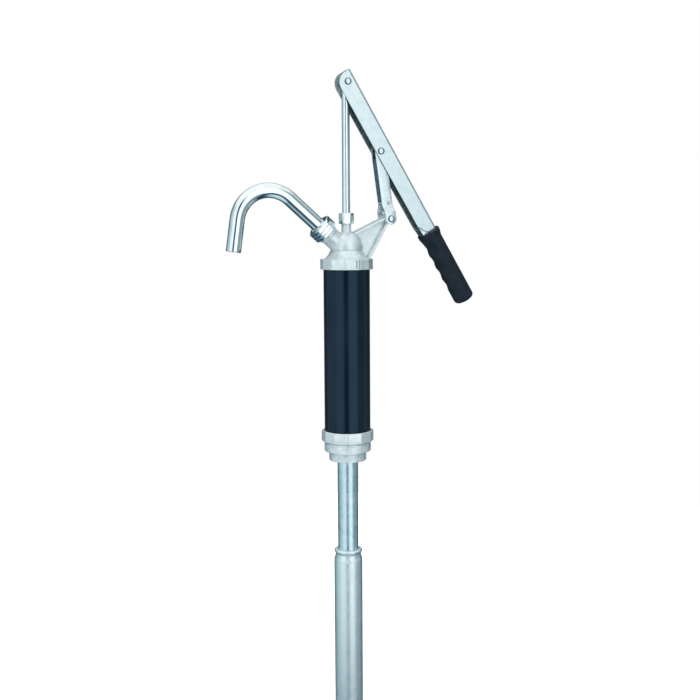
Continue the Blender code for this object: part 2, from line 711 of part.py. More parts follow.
# ---------------------------------------------------------------- link
def link_plate(side, length):
    """One cheek of the link, along +Z from the lug pivot, flared around the lug."""
    def mid_y(z):
        neck = LINK_NECK_Y - LINK_SHEET / 2
        fork = LINK_FORK_Y - LINK_SHEET / 2
        return fork + (neck - fork) * smooth_step(z, LINK_FLARE_END, LINK_FLARE_START)

    def width(z):
        if z < 0:
            return sqrt(LINK_HALF_W ** 2 - z ** 2)
        if z > length:
            return sqrt(LINK_HALF_W ** 2 - (z - length) ** 2)
        return LINK_HALF_W

    ends = [LINK_HALF_W * cos(radians(angle)) for angle in (10.0, 30.0, 50.0, 70.0)]
    levels = [-z for z in ends] + [0.0, LINK_FLARE_END]
    levels += [LINK_FLARE_END + (LINK_FLARE_START - LINK_FLARE_END) * i / 4 for i in range(1, 5)]
    levels += [length] + [length + z for z in reversed(ends)]
    half = LINK_SHEET / 2
    sections = []
    for z in levels:
        w = width(z)
        y = side * mid_y(z)
        sections.append([(-w, y - half, z), (w, y - half, z), (w, y + half, z),
                         (-w, y + half, z)])
    return loft(sections)


def build_link(link_axis, length):
    link = add_object("link_arm", link_plate(-1, length), "zinc_plate", link_axis)
    far = add_guide("link_far_cheek", link_plate(1, length), link_axis)
    inside = LINK_NECK_Y - 0.4 * MM
    web = add_guide("link_web", box((-LINK_HALF_W, -inside, LINK_FLARE_START + 3.0 * MM),
                                    (-LINK_HALF_W + LINK_SHEET, inside, length - 9.0 * MM)),
                    link_axis)
    reach = LINK_FORK_Y + OVER
    holes = [add_guide("link_lug_hole", cross_pin(PIN_R + GAP, reach), link_axis),
             add_guide("link_top_hole", cross_pin(PIN_R + GAP, reach, 0.0, length), link_axis)]
    combine(link, [web, far], "UNION")
    combine(link, holes, "DIFFERENCE")


def build_lug_pivot():
    rivet = add_object("lug_rivet", through_rivet(LINK_FORK_Y + GAP), "zinc_plate")
    rivet.location = LUG_PIVOT
    bush = add_object("lug_bush",
                      along_y(sleeve(PIN_R + GAP, LUG_BUSH_R, -LUG_BOSS_HALF, LUG_BOSS_HALF,
                                     SMALL_ROUND)), "brass")
    bush.location = LUG_PIVOT


# ---------------------------------------------------------------- suction pipe
def lower_pipe_profile():
    """Rolled top with a bead and a groove, then the plain pipe."""
    grip_r = UPPER_R + GAP
    inner_r = LOWER_R - LOWER_WALL
    z = LOWER_TOP_Z
    return [(grip_r, z),
            (17.4 * MM, z),
            (18.5 * MM, z - 1.2 * MM),
            (18.5 * MM, z - 3.4 * MM),
            (17.3 * MM, z - 4.8 * MM),
            (16.9 * MM, z - 8.0 * MM),
            (17.6 * MM, z - 10.5 * MM),
            (LOWER_R, z - 13.0 * MM),
            (LOWER_R, LOWER_BOTTOM_Z),
            (inner_r, LOWER_BOTTOM_Z),
            (inner_r, z - SHOULDER_DROP),
            (grip_r, z - 12.0 * MM)]


def build_suction_pipe():
    add_object("suction_tube_upper",
               sleeve(UPPER_R - UPPER_WALL, UPPER_R, UPPER_BOTTOM_Z, UPPER_TOP_Z),
               "zinc_plate")
    ring_z = UPPER_BOTTOM_Z + OVER
    ring_r = 16.8 * MM
    ring_h = 6.0 * MM
    add_object("telescope_stop_ring", sleeve(UPPER_R + GAP, ring_r, ring_z, ring_z + ring_h),
               "brass")
    extend = add_empty("suction_extend", (0.0, 0.0, 0.0))
    add_object("suction_tube_lower", turned_ring(lower_pipe_profile()), "zinc_plate", extend)
    seal_r = LOWER_R - LOWER_WALL - GAP
    seal_z = LOWER_TOP_Z - SHOULDER_DROP - 0.5 * MM
    seal_h = 4.2 * MM
    add_object("telescope_seal", sleeve(UPPER_R + GAP, seal_r, seal_z - seal_h, seal_z),
               "seal_rubber", extend)
    build_suction_foot(extend)


def build_suction_foot(extend):
    """Strainer foot plugged into the pipe, with a central hole and four side notches."""
    spigot_r = LOWER_R - LOWER_WALL - GAP
    hole_r = 10.0 * MM
    shoulder_z = LOWER_BOTTOM_Z - GAP
    spigot_top_z = shoulder_z + 14.0 * MM
    foot = add_object("suction_foot", turned_ring([
        (hole_r, FOOT_BOTTOM_Z),
        (LOWER_R, FOOT_BOTTOM_Z),
        (LOWER_R, shoulder_z),
        (spigot_r, shoulder_z),
        (spigot_r, spigot_top_z),
        (hole_r, spigot_top_z)]), "seal_rubber", extend)
    reach = LOWER_R + OVER
    half = 4.0 * MM
    top = FOOT_BOTTOM_Z + 6.0 * MM
    low = FOOT_BOTTOM_Z - OVER
    notches = [add_guide("foot_notch_x", box((-reach, -half, low), (reach, half, top)), extend),
               add_guide("foot_notch_y", box((-half, -reach, low), (half, reach, top)), extend)]
    combine(foot, notches, "DIFFERENCE")


# ---------------------------------------------------------------- assembly
def main():
    clear_scene()
    spout_axis = add_empty("spout_swivel", (0.0, 0.0, SPOUT_AXIS_Z), SPOUT_SLOPE - pi / 2)
    rod_slide = add_empty("rod_slide", ROD_PIVOT)
    lever = add_empty("handle_swing", ROD_PIVOT, pi / 2 - LEVER_FROM_DOWN)

    along = Vector((sin(LEVER_FROM_DOWN), 0.0, -cos(LEVER_FROM_DOWN)))
    off = Vector((cos(LEVER_FROM_DOWN), 0.0, sin(LEVER_FROM_DOWN)))
    link_pivot = ROD_PIVOT + along * LINK_PIVOT_ALONG + off * LINK_PIVOT_OFF
    span = link_pivot - LUG_PIVOT
    link_axis = add_empty("link_swing", LUG_PIVOT, atan2(span.x, span.z))

    build_bung_adaptor()
    build_cylinder()
    build_pump_head(spout_axis)
    build_gland()
    build_foot_valve()
    build_rod(rod_slide)
    build_piston(rod_slide)
    build_spout(spout_axis)
    build_channel(lever)
    build_lever_rivets(lever)
    build_grip(lever)
    build_link(link_axis, span.length)
    build_lug_pivot()
    build_suction_pipe()
    bpy.context.view_layer.update()


main()
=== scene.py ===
"""Looks of the lever-action drum pump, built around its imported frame.

Shapes are in millimetres in a local frame of their own: the pump's axis, the spout's
boss, the lever or the link. The frame's joints say where those local frames are.
"""

import json
from math import acos, asin, atan2, cos, hypot, pi, radians, sin, sqrt, tan, tau

import bmesh
import bpy
from mathutils import Matrix, Vector


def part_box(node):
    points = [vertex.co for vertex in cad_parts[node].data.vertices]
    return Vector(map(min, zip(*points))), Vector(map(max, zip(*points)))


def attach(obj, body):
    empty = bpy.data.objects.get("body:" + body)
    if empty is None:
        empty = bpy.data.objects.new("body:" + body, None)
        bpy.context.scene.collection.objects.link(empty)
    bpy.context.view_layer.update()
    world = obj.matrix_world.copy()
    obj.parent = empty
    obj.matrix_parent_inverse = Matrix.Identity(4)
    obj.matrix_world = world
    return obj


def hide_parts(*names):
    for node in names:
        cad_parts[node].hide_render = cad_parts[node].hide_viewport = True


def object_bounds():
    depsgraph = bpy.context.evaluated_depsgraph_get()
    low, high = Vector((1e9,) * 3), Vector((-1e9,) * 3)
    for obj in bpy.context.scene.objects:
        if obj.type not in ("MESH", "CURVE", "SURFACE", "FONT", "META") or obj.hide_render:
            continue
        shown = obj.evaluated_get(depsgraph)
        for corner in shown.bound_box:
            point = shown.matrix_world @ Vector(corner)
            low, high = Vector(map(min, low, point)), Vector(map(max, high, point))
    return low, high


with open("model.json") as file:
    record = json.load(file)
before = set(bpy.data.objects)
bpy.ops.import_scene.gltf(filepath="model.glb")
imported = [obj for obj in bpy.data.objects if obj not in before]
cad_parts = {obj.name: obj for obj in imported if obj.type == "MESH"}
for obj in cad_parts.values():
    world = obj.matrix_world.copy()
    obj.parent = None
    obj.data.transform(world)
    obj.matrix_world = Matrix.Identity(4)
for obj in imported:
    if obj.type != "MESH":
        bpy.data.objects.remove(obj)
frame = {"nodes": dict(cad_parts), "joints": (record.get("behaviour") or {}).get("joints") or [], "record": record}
cad_low, cad_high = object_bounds()

MM = 0.001
ROUND = 96                  # segments of the large round pieces
SMALL_ROUND = 48
POLY_ROUND = 180            # a multiple of the nuts' and collars' sides
SHARP = radians(38.0)       # steeper edges are shaded as edges

JOINTS = {joint["name"]: joint for joint in frame["joints"]}


# ---- local frames
def place(x, z, turn):
    """Local frame in the XZ plane, at (x, z) metres and turned about Y."""
    return Matrix.Translation((x, 0.0, z)) @ Matrix.Rotation(turn, 4, "Y")


LEVER_FROM_DOWN = radians(31.4)
LINK_PIVOT_ALONG = 96.5     # link pivot on the lever, from the rod pivot
LINK_PIVOT_OFF = -6.0

spout_joint = JOINTS["spout_swivel"]
rod_top = Vector(JOINTS["handle_swing"]["pos_m"])
lug_pivot = Vector(JOINTS["link_swing"]["pos_m"])

PUMP = Matrix.Identity(4)
SPOUT = place(0.0, spout_joint["pos_m"][2],
              atan2(spout_joint["axis"][0], spout_joint["axis"][2]))
ROD = place(rod_top.x, rod_top.z, 0.0)
LEVER = place(rod_top.x, rod_top.z, pi / 2 - LEVER_FROM_DOWN)
LUG = place(lug_pivot.x, lug_pivot.z, 0.0)
link_top = LEVER @ Vector((LINK_PIVOT_ALONG * MM, 0.0, LINK_PIVOT_OFF * MM))
link_span = link_top - lug_pivot
LINK = place(lug_pivot.x, lug_pivot.z, atan2(link_span.x, link_span.z))
LINK_LENGTH = link_span.length / MM


def node_z(node):
    """Lowest and highest height of a CAD node, in millimetres."""
    low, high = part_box(node)
    return low.z / MM, high.z / MM


# ---- shape helpers
def rounded(corners, closed=True, steps=4):
    """Outline with rounded corners, each given as (u, v, corner radius)."""
    outline = []
    count = len(corners)
    for i, (u, v, radius) in enumerate(corners):
        at_end = not closed and i in (0, count - 1)
        if radius == 0.0 or at_end:
            outline.append((u, v))
            continue
        here = Vector((u, v))
        before = (Vector(corners[i - 1][:2]) - here).normalized()
        after = (Vector(corners[(i + 1) % count][:2]) - here).normalized()
        half = before.angle(after) / 2
        centre = here + (before + after).normalized() * radius / sin(half)
        spoke = here + before * radius / tan(half) - centre
        turn = pi - 2 * half
        if before.x * after.y - before.y * after.x > 0:
            turn = -turn
        for k in range(steps + 1):
            angle = turn * k / steps
            outline.append((centre.x + spoke.x * cos(angle) - spoke.y * sin(angle),
                            centre.y + spoke.x * sin(angle) + spoke.y * cos(angle)))
    return outline


def ring(radius, z, segments, turn=0.0):
    """Loop about Z; the radius is a number or a function of the angle."""
    points = []
    for i in range(segments):
        angle = turn + tau * i / segments
        r = radius(angle) if callable(radius) else radius
        points.append((r * cos(angle), r * sin(angle), z))
    return points


def loft(sections, closed=False):
    """Joins loops of points into one closed solid: capped, or a ring when closed."""
    bm = bmesh.new()
    loops = [[bm.verts.new(point) for point in section] for section in sections]
    count = len(loops[0])
    spans = list(zip(loops, loops[1:]))
    if closed:
        spans.append((loops[-1], loops[0]))
    for lower, upper in spans:
        for i in range(count):
            j = (i + 1) % count
            bm.faces.new((lower[i], lower[j], upper[j], upper[i]))
    if not closed:
        bm.faces.new(loops[0])
        bm.faces.new(loops[-1])
    bmesh.ops.recalc_face_normals(bm, faces=bm.faces)
    return bm


def lathe(corners):
    """Ring turned about Z from a closed outline of (radius, z, corner radius)."""
    return loft([ring(r, z, ROUND) for r, z in rounded(corners)], closed=True)


def turned(corners, segments=ROUND):
    """Solid turned about Z, with flat ends, from (radius, z, corner radius)."""
    return loft([ring(r, z, segments) for r, z in rounded(corners, closed=False)])


def laid_along_y(bm, x=0.0, z=0.0):
    """Turns a solid made about Z so that it lies along Y, through (x, z)."""
    lay = Matrix.Translation((x, 0.0, z)) @ Matrix.Rotation(radians(-90.0), 4, "X")
    bmesh.ops.transform(bm, matrix=lay, verts=bm.verts)
    return bm


def cross_pin(radius, half, x=0.0, z=0.0, edge=0.0):
    """Pin along Y through (x, z), half long to each side."""
    tip = radius - max(edge, 0.01)
    corners = [(tip, -half, 0.0), (radius, -half + edge, 0.0),
               (radius, half - edge, 0.0), (tip, half, 0.0)]
    return laid_along_y(turned(corners, SMALL_ROUND), x, z)


def bar(low, high, edge=0.4):
    """Block with rounded upright edges, between two corners."""
    x0, y0, z0 = low
    x1, y1, z1 = high
    outline = rounded([(x0, y0, edge), (x1, y0, edge), (x1, y1, edge), (x0, y1, edge)])
    return loft([[(x, y, z) for x, y in outline] for z in (z0, z1)])


def new_object(name, data):
    obj = bpy.data.objects.new(name, data)
    bpy.context.scene.collection.objects.link(obj)
    return obj


def shade(mesh, sharp=SHARP):
    mesh.shade_smooth()
    mesh.set_sharp_from_angle(angle=sharp)


def add_piece(name, bm, at=PUMP):
    """Object from a solid in millimetres, in the local frame at."""
    mesh = bpy.data.meshes.new(name)
    bmesh.ops.scale(bm, vec=(MM, MM, MM), verts=bm.verts)
    bm.to_mesh(mesh)
    bm.free()
    shade(mesh)
    obj = new_object(name, mesh)
    obj.matrix_world = at
    return obj


def bake_modifiers(obj, sharp=SHARP):
    """Replaces the mesh with what its modifiers make of it."""
    bpy.context.view_layer.update()
    shape = obj.evaluated_get(bpy.context.evaluated_depsgraph_get())
    mesh = bpy.data.meshes.new_from_object(shape)
    obj.modifiers.clear()
    obj.data = mesh
    shade(mesh, sharp)


def combine(obj, joined=(), cut=()):
    """Joins solids to a piece and cuts others out of it.

    A solid is in the piece's local frame, or comes with its own as (solid, frame).
    """
    tools = [(tool, "UNION") for tool in joined] + [(tool, "DIFFERENCE") for tool in cut]
    helpers = []
    for bm, operation in tools:
        at = obj.matrix_world
        if isinstance(bm, tuple):
            bm, at = bm
        helper = add_piece("helper", bm, at)
        helpers.append(helper)
        boolean = obj.modifiers.new("boolean", "BOOLEAN")
        boolean.operation = operation
        boolean.solver = "EXACT"
        boolean.object = helper
    bake_modifiers(obj)
    for helper in helpers:
        bpy.data.objects.remove(helper)


def soften_edges(obj, width):
    bevel = obj.modifiers.new("soften", "BEVEL")
    bevel.width = width * MM
    bevel.segments = 2
    bevel.limit_method = "ANGLE"
    bevel.angle_limit = radians(40.0)
    bevel.harden_normals = False
    bake_modifiers(obj)


def finish_piece(obj, materials, slot, body, *nodes):
    """Gives a piece its materials and its body, and hides the nodes it stands for. The slot is not used."""
    for made in materials if isinstance(materials, list) else [materials]:
        obj.data.materials.append(made)
    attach(obj, body)
    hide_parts(*nodes)


# ---- material helpers
class Nodes:
    """A node tree under construction."""

    def fill(self, socket, value):
        if isinstance(value, bpy.types.NodeSocket):
            self.tree.links.new(value, socket)
        else:
            socket.default_value = value

    def math(self, operation, first, second=0.0):
        node = self.tree.nodes.new("ShaderNodeMath")
        node.operation = operation
        self.fill(node.inputs[0], first)
        self.fill(node.inputs[1], second)
        return node.outputs[0]

    def mix(self, share, first, second):
        node = self.tree.nodes.new("ShaderNodeMix")
        node.data_type = "RGBA"
        self.fill(node.inputs["Factor"], share)
        colours = [socket for socket in node.inputs if socket.type == "RGBA"]
        for socket, colour in zip(colours, (first, second)):
            self.fill(socket, (*colour, 1.0) if isinstance(colour, tuple) else colour)
        return next(socket for socket in node.outputs if socket.type == "RGBA")

    def spread(self, value, low, high, to_low=0.0, to_high=1.0, kind="LINEAR"):
        """Maps low..high of a value to another range, clamped."""
        node = self.tree.nodes.new("ShaderNodeMapRange")
        node.interpolation_type = kind
        self.fill(node.inputs["Value"], value)
        for name, number in zip(("From Min", "From Max", "To Min", "To Max"),
                                (low, high, to_low, to_high)):
            node.inputs[name].default_value = number
        return node.outputs["Result"]


class Finish(Nodes):
    """A material under construction. Its coordinates are in millimetres."""

    def __init__(self, name, colour, roughness, metallic):
        self.material = bpy.data.materials.new(name)
        self.material.use_nodes = True
        self.tree = self.material.node_tree
        self.shader = self.tree.nodes["Principled BSDF"]
        self.shader.inputs["Metallic"].default_value = metallic
        self.set("Base Color", (*colour, 1.0))
        self.set("Roughness", roughness)
        position = self.tree.nodes.new("ShaderNodeTexCoord").outputs["Object"]
        self.mm = self.vector_math("SCALE", position, scale=1 / MM)

    def set(self, name, value):
        self.shader.inputs[name].default_value = value

    def feed(self, name, output):
        self.tree.links.new(output, self.shader.inputs[name])

    def paint(self, colour):
        self.feed("Base Color", colour)

    def roughen(self, value, low, high, to_low, to_high):
        self.feed("Roughness", self.spread(value, low, high, to_low, to_high))

    def vector_math(self, operation, first, second=None, scale=None):
        node = self.tree.nodes.new("ShaderNodeVectorMath")
        node.operation = operation
        self.fill(node.inputs[0], first)
        if second is not None:
            self.fill(node.inputs[1], second)
        if scale is not None:
            node.inputs["Scale"].default_value = scale
        return node.outputs[0]

    def noise(self, size, detail=3.0, stretch=(1.0, 1.0, 1.0), rough=0.5):
        """Noise whose features are about size millimetres across."""
        node = self.tree.nodes.new("ShaderNodeTexNoise")
        self.fill(node.inputs["Vector"], self.vector_math("MULTIPLY", self.mm, stretch))
        node.inputs["Scale"].default_value = 1.0 / size
        node.inputs["Detail"].default_value = detail
        node.inputs["Roughness"].default_value = rough
        return node.outputs["Fac"]

    def cells(self, size):
        """Distance to the nearest of points about size millimetres apart."""
        node = self.tree.nodes.new("ShaderNodeTexVoronoi")
        self.fill(node.inputs["Vector"], self.mm)
        node.inputs["Scale"].default_value = 1.0 / size
        return node.outputs["Distance"]

    def clouded(self, cloud, low, high, first, second):
        """Colour that drifts from first to second as a cloud goes from low to high."""
        return self.mix(self.spread(cloud, low, high), first, second)

    def bump(self, *layers):
        """Stacks bump layers, each (height, distance in millimetres)."""
        normal = None
        for height, distance in layers:
            node = self.tree.nodes.new("ShaderNodeBump")
            node.inputs["Strength"].default_value = 1.0
            node.inputs["Distance"].default_value = distance * MM
            self.fill(node.inputs["Height"], height)
            if normal is not None:
                self.fill(node.inputs["Normal"], normal)
            normal = node.outputs["Normal"]
        self.feed("Normal", normal)


def pointiness(finish):
    """Half on flat surface, more on edges, less in corners."""
    return finish.tree.nodes.new("ShaderNodeNewGeometry").outputs["Pointiness"]


def cast_alloy():
    """Pale die-cast alloy: sandy grain, faint mottling, rubbed edges and painted shade in the corners."""
    finish = Finish("cast_alloy", (0.76, 0.81, 0.82), 0.38, 0.85)
    mottle = finish.noise(7.0, 4.0)
    grain = finish.noise(0.7, 4.0, rough=0.6)
    pits = finish.cells(1.3)
    body = finish.clouded(mottle, 0.35, 0.68, (0.72, 0.79, 0.81), (0.86, 0.91, 0.92))
    pitted = finish.mix(finish.spread(pits, 0.05, 0.16, 0.35, 0.0), body, (0.50, 0.55, 0.57))
    curve = pointiness(finish)
    # painted shade: the colour goes darker in concave corners, where shade falls
    corner_shaded = finish.mix(finish.spread(curve, 0.44, 0.492, 0.8, 0.0), pitted, (0.20, 0.24, 0.26))
    edges = finish.spread(curve, 0.51, 0.56, 0.0, 0.7)
    finish.paint(finish.mix(edges, corner_shaded, (0.92, 0.95, 0.96)))
    finish.roughen(grain, 0.3, 0.7, 0.40, 0.54)
    finish.bump((mottle, 0.07), (grain, 0.08), (finish.spread(pits, 0.0, 0.2), 0.03))
    return finish.material


def machined_alloy():
    """Turned surface of the same alloy: fine rings around Z."""
    finish = Finish("machined_alloy", (0.80, 0.86, 0.88), 0.42, 0.8)
    rings = finish.noise(0.22, 2.0, stretch=(0.03, 0.03, 1.0))
    stain = finish.noise(6.0, 3.0)
    finish.paint(finish.clouded(stain, 0.35, 0.7, (0.74, 0.80, 0.82), (0.86, 0.91, 0.93)))
    finish.roughen(rings, 0.3, 0.7, 0.36, 0.48)
    finish.bump((rings, 0.012))
    return finish.material


def gloss_enamel():
    """Blue-black gloss enamel with a slight orange peel and faint dust."""
    finish = Finish("gloss_enamel", (0.003, 0.005, 0.010), 0.30, 0.0)
    peel = finish.noise(2.2, 2.0)
    haze = finish.noise(26.0, 4.0, stretch=(1.0, 1.0, 0.35))
    specks = finish.cells(5.5)
    tone = finish.clouded(haze, 0.35, 0.7, (0.002, 0.004, 0.008), (0.005, 0.008, 0.014))
    dust = finish.spread(specks, 0.02, 0.05, 0.5, 0.0)
    finish.paint(finish.mix(dust, tone, (0.03, 0.04, 0.05)))
    finish.roughen(haze, 0.3, 0.7, 0.15, 0.26)
    finish.set("IOR", 1.52)
    finish.set("Specular Tint", (0.34, 0.66, 1.0, 1.0))
    finish.bump((peel, 0.010), (haze, 0.05))
    return finish.material


def chrome_plate():
    """Bright plating with faint smears and hairline polishing marks."""
    finish = Finish("chrome_plate", (0.84, 0.89, 0.90), 0.10, 1.0)
    smear = finish.noise(12.0, 4.0)
    lines = finish.noise(0.5, 3.0, stretch=(1.0, 1.0, 0.06))
    finish.paint(finish.clouded(smear, 0.35, 0.7, (0.78, 0.85, 0.87), (0.90, 0.94, 0.95)))
    finish.roughen(smear, 0.3, 0.75, 0.06, 0.15)
    finish.bump((lines, 0.0025), (smear, 0.02))
    return finish.material


def zinc_plate(name, along, rough, dark=(0.60, 0.71, 0.75), bright=(0.80, 0.88, 0.91)):
    """Zinc plated steel: clouded tone, fine rolling lines and small spangles."""
    finish = Finish(name, bright, rough, 1.0)
    cloud = finish.noise(9.0, 5.0)
    lines = finish.noise(0.45, 3.0, stretch=along)
    spangle = finish.cells(1.8)
    tone = finish.clouded(cloud, 0.34, 0.68, dark, bright)
    spangled = tuple(min(1.15 * part, 0.95) for part in bright)
    finish.paint(finish.mix(finish.spread(spangle, 0.1, 0.7, 0.22, 0.0), tone, spangled))
    varied = finish.math("ADD", finish.spread(cloud, 0.3, 0.7, rough - 0.07, rough + 0.05),
                         finish.spread(lines, 0.3, 0.7, -0.03, 0.05))
    finish.feed("Roughness", varied)
    finish.bump((lines, 0.008), (cloud, 0.05))
    return finish.material


def grip_rubber():
    """Matt moulded rubber with a fine leathery grain and a little dust."""
    finish = Finish("grip_rubber", (0.008, 0.011, 0.017), 0.55, 0.0)
    grain = finish.cells(0.75)
    cloud = finish.noise(14.0, 4.0)
    finish.paint(finish.clouded(cloud, 0.35, 0.7, (0.005, 0.008, 0.013), (0.011, 0.015, 0.022)))
    finish.roughen(cloud, 0.3, 0.7, 0.48, 0.62)
    finish.set("Specular IOR Level", 0.3)
    finish.set("Specular Tint", (0.6, 0.8, 1.0, 1.0))
    finish.bump((grain, 0.05), (finish.noise(1.6, 3.0), 0.05))
    return finish.material


def seal_rubber():
    """Dark grey rubber of the seals and the foot."""
    finish = Finish("seal_rubber", (0.028, 0.028, 0.030), 0.60, 0.0)
    cloud = finish.noise(5.0, 4.0)
    finish.paint(finish.clouded(cloud, 0.35, 0.7, (0.020, 0.020, 0.022), (0.045, 0.045, 0.048)))
    finish.roughen(cloud, 0.3, 0.7, 0.5, 0.7)
    finish.bump((finish.noise(0.6, 3.0), 0.03))
    return finish.material


def turned_metal(name, dark, bright, rough):
    """Bare turned metal with fine rings around Z, for the pieces inside."""
    finish = Finish(name, bright, rough, 1.0)
    rings = finish.noise(0.25, 2.0, stretch=(0.04, 0.04, 1.0))
    stain = finish.noise(4.0, 4.0)
    finish.paint(finish.clouded(stain, 0.3, 0.7, dark, bright))
    finish.roughen(rings, 0.3, 0.7, rough - 0.07, rough + 0.09)
    finish.bump((rings, 0.015))
    return finish.material


CAST = cast_alloy()
MACHINED = machined_alloy()
ENAMEL = gloss_enamel()
CHROME = chrome_plate()
ALONG_X = (0.05, 1.0, 1.0)  # noise drawn out into rolling lines
ALONG_Z = (1.0, 1.0, 0.05)
NO_LINES = (1.0, 1.0, 1.0)
PRESSED_ZINC = zinc_plate("pressed_zinc", ALONG_X, 0.30)
TUBE_ZINC = zinc_plate("tube_zinc", ALONG_Z, 0.33, (0.52, 0.69, 0.75), (0.72, 0.87, 0.92))
PALE_ZINC = zinc_plate("pale_zinc", ALONG_Z, 0.44, (0.80, 0.93, 0.95), (0.90, 0.97, 0.98))
# painted shade: a darker copy of the pressed zinc for the channel's inside and its crease
SHADED_ZINC = zinc_plate("shaded_zinc", ALONG_X, 0.50, (0.42, 0.50, 0.50), (0.56, 0.64, 0.64))
# second material: painted shade on the steep flank of the rivet heads
RIVET_ZINC_AND_RIM_SHADE = [zinc_plate("rivet_zinc", NO_LINES, 0.15),
              zinc_plate("rivet_rim_shade", NO_LINES, 0.20, (0.16, 0.22, 0.24), (0.26, 0.32, 0.34))]
RUBBER = grip_rubber()
SEAL = seal_rubber()
BRASS = turned_metal("brass", (0.58, 0.40, 0.14), (0.80, 0.60, 0.26), 0.28)
STEEL = turned_metal("bare_steel", (0.40, 0.41, 0.42), (0.60, 0.61, 0.62), 0.34)
INNER_LOOKS = {"seal_rubber": SEAL, "brass": BRASS, "plain_steel": STEEL,
               "chrome_plate": CHROME, "zinc_plate": TUBE_ZINC}


def dress_inner_nodes():
    """Gives every CAD node that still shows the material of its record slot."""
    slots = {part["node"]: part["material_slot"] for part in frame["record"]["subparts"]}
    for name, obj in frame["nodes"].items():
        if obj.hide_render:
            continue
        obj.data.materials.clear()
        obj.data.materials.append(INNER_LOOKS[slots[name]])


# ---- nuts and threads
def polygon(sides, flats, turn, corner_cut=0.5):
    """Radius of a regular polygon with a corner at turn, its corners turned off a little."""
    step = tau / sides
    limit = flats / 2 / cos(step / 2) - corner_cut

    def radius(angle):
        off = (angle - turn) % step - step / 2
        return min(flats / 2 / cos(off), limit)
    return radius


def capped(shape, limit):
    """Radius function cut off at a limit, as a chamfer or a groove does."""
    return lambda angle: min(shape(angle), limit)


def nut(flats, z0, z1, turn, bore, grooves=()):
    """Hexagon nut with turned chamfers and turned grooves, each (z, half width, radius).

    The bore is its inside as (radius, z, corner radius), top down.
    """
    shape = polygon(6, flats, turn)
    face_r = flats / 2 - 0.3
    groove_edge = 0.15
    drops = (0.0, 0.12, 0.3, 0.55, 0.85, 1.2, 1.6, 2.1, 2.7)
    slope = 1.75
    levels = [(z0 + drop, capped(shape, face_r + drop * slope)) for drop in drops]
    for groove_z, half, groove_r in grooves:
        levels += [(groove_z - half - groove_edge, shape),
                   (groove_z - half, capped(shape, groove_r)),
                   (groove_z + half, capped(shape, groove_r)),
                   (groove_z + half + groove_edge, shape)]
    levels += [(z1 - drop, capped(shape, face_r + drop * slope)) for drop in reversed(drops)]
    loops = [ring(radius, z, POLY_ROUND, turn) for z, radius in levels]
    loops += [ring(r, z, POLY_ROUND, turn) for r, z in rounded(bore, False, 3)]
    return loft(loops, closed=True)


def thread_levels(crest, z0, z1, pitch, depth):
    """Levels of a helical thread that fades in at z0 and out at z1, bottom up."""
    per_pitch = 8
    fade_run = 0.35 * pitch
    count = round((z1 - z0) / pitch * per_pitch)
    levels = []
    for i in range(count + 1):
        z = z0 + (z1 - z0) * i / count
        fade = min(1.0, (z - z0) / fade_run, (z1 - z) / fade_run)

        def radius(angle, z=z, fade=fade):
            phase = (z / pitch - angle / tau) % 1.0
            flank = 2.2 * abs(2 * phase - 1) - 0.2
            height = min(1.0, max(0.0, flank))
            return crest - depth + depth * height * fade
        levels.append((z, radius))
    return levels


# ---- adaptor and cylinder
TUBE_R = 30.0
CLEARANCE = 0.3


def build_adaptor():
    """Twelve-sided flange over two stepped pipe threads and a lip, with a stepped bore."""
    sides = 12
    corner_r = 34.2
    turn = radians(10.2)
    flange_h = 14.3
    large_end = -13.2           # ends of the 2 inch and the 1.5 inch thread
    small_end = -25.6
    lip_z = -27.1
    large_crest = 30.5
    small_crest = 24.4
    pitch = 25.4 / 11
    depth = 0.6
    seat_r = TUBE_R + CLEARANCE
    shape = polygon(sides, 2 * corner_r * cos(pi / sides), turn, 0.2)

    def inset(amount):
        return lambda angle: shape(angle) - amount

    lip = [(lip_z, 14.9), (lip_z + 0.3, 15.4), (lip_z + 0.7, 15.6), (small_end - 0.2, 15.7),
           (small_end, 16.4), (small_end, 22.0)]
    shoulder = [(large_end, 22.6), (large_end, 28.0)]
    relief = [(-1.5, 28.2), (-0.3, 28.2), (0.0, 28.6)]
    flange = [(0.0, inset(1.0)), (0.12, inset(0.55)), (0.4, inset(0.18)), (0.9, inset(0.0)),
              (flange_h - 1.2, inset(0.0)), (flange_h - 0.6, inset(0.15)),
              (flange_h - 0.2, inset(0.5)), (flange_h, inset(1.1))]
    levels = lip + thread_levels(small_crest, small_end + 0.1, large_end - 0.1, pitch, depth)
    levels += shoulder + thread_levels(large_crest, large_end + 0.1, -1.6, pitch, depth)
    levels += relief + flange
    bore = [(TUBE_R + 1.2, flange_h, 0.4), (seat_r, flange_h - 0.9, 0.3),
            (seat_r, 2.0, 0.5), (11.0, 2.0, 0.5), (11.0, -10.1, 0.2),
            (13.8, -10.1, 0.3), (13.8, lip_z + 0.5, 0.2), (14.3, lip_z, 0.2)]
    loops = [ring(radius, z, POLY_ROUND, turn) for z, radius in levels]
    loops += [ring(r, z, POLY_ROUND, turn) for r, z in rounded(bore, False, 3)]
    adaptor = add_piece("bung_adaptor_casting", loft(loops, closed=True))
    for face in adaptor.data.polygons:
        inside = Vector(face.center.xy).length < (seat_r + 0.2) * MM
        face.material_index = int(face.center.z < 0.0 or inside)
    finish_piece(adaptor, [CAST, MACHINED], "cast_metal", "root", "bung_adaptor")


def build_cylinder():
    bottom, top = node_z("cylinder_tube")
    inner_r = 28.5
    tube = lathe([(inner_r, bottom, 0.3), (TUBE_R, bottom, 0.5), (TUBE_R, top, 0.5),
                  (inner_r, top, 0.3)])
    cylinder = add_piece("cylinder_enamelled", tube)
    finish_piece(cylinder, ENAMEL, "black_paint", "root", "cylinder_tube")


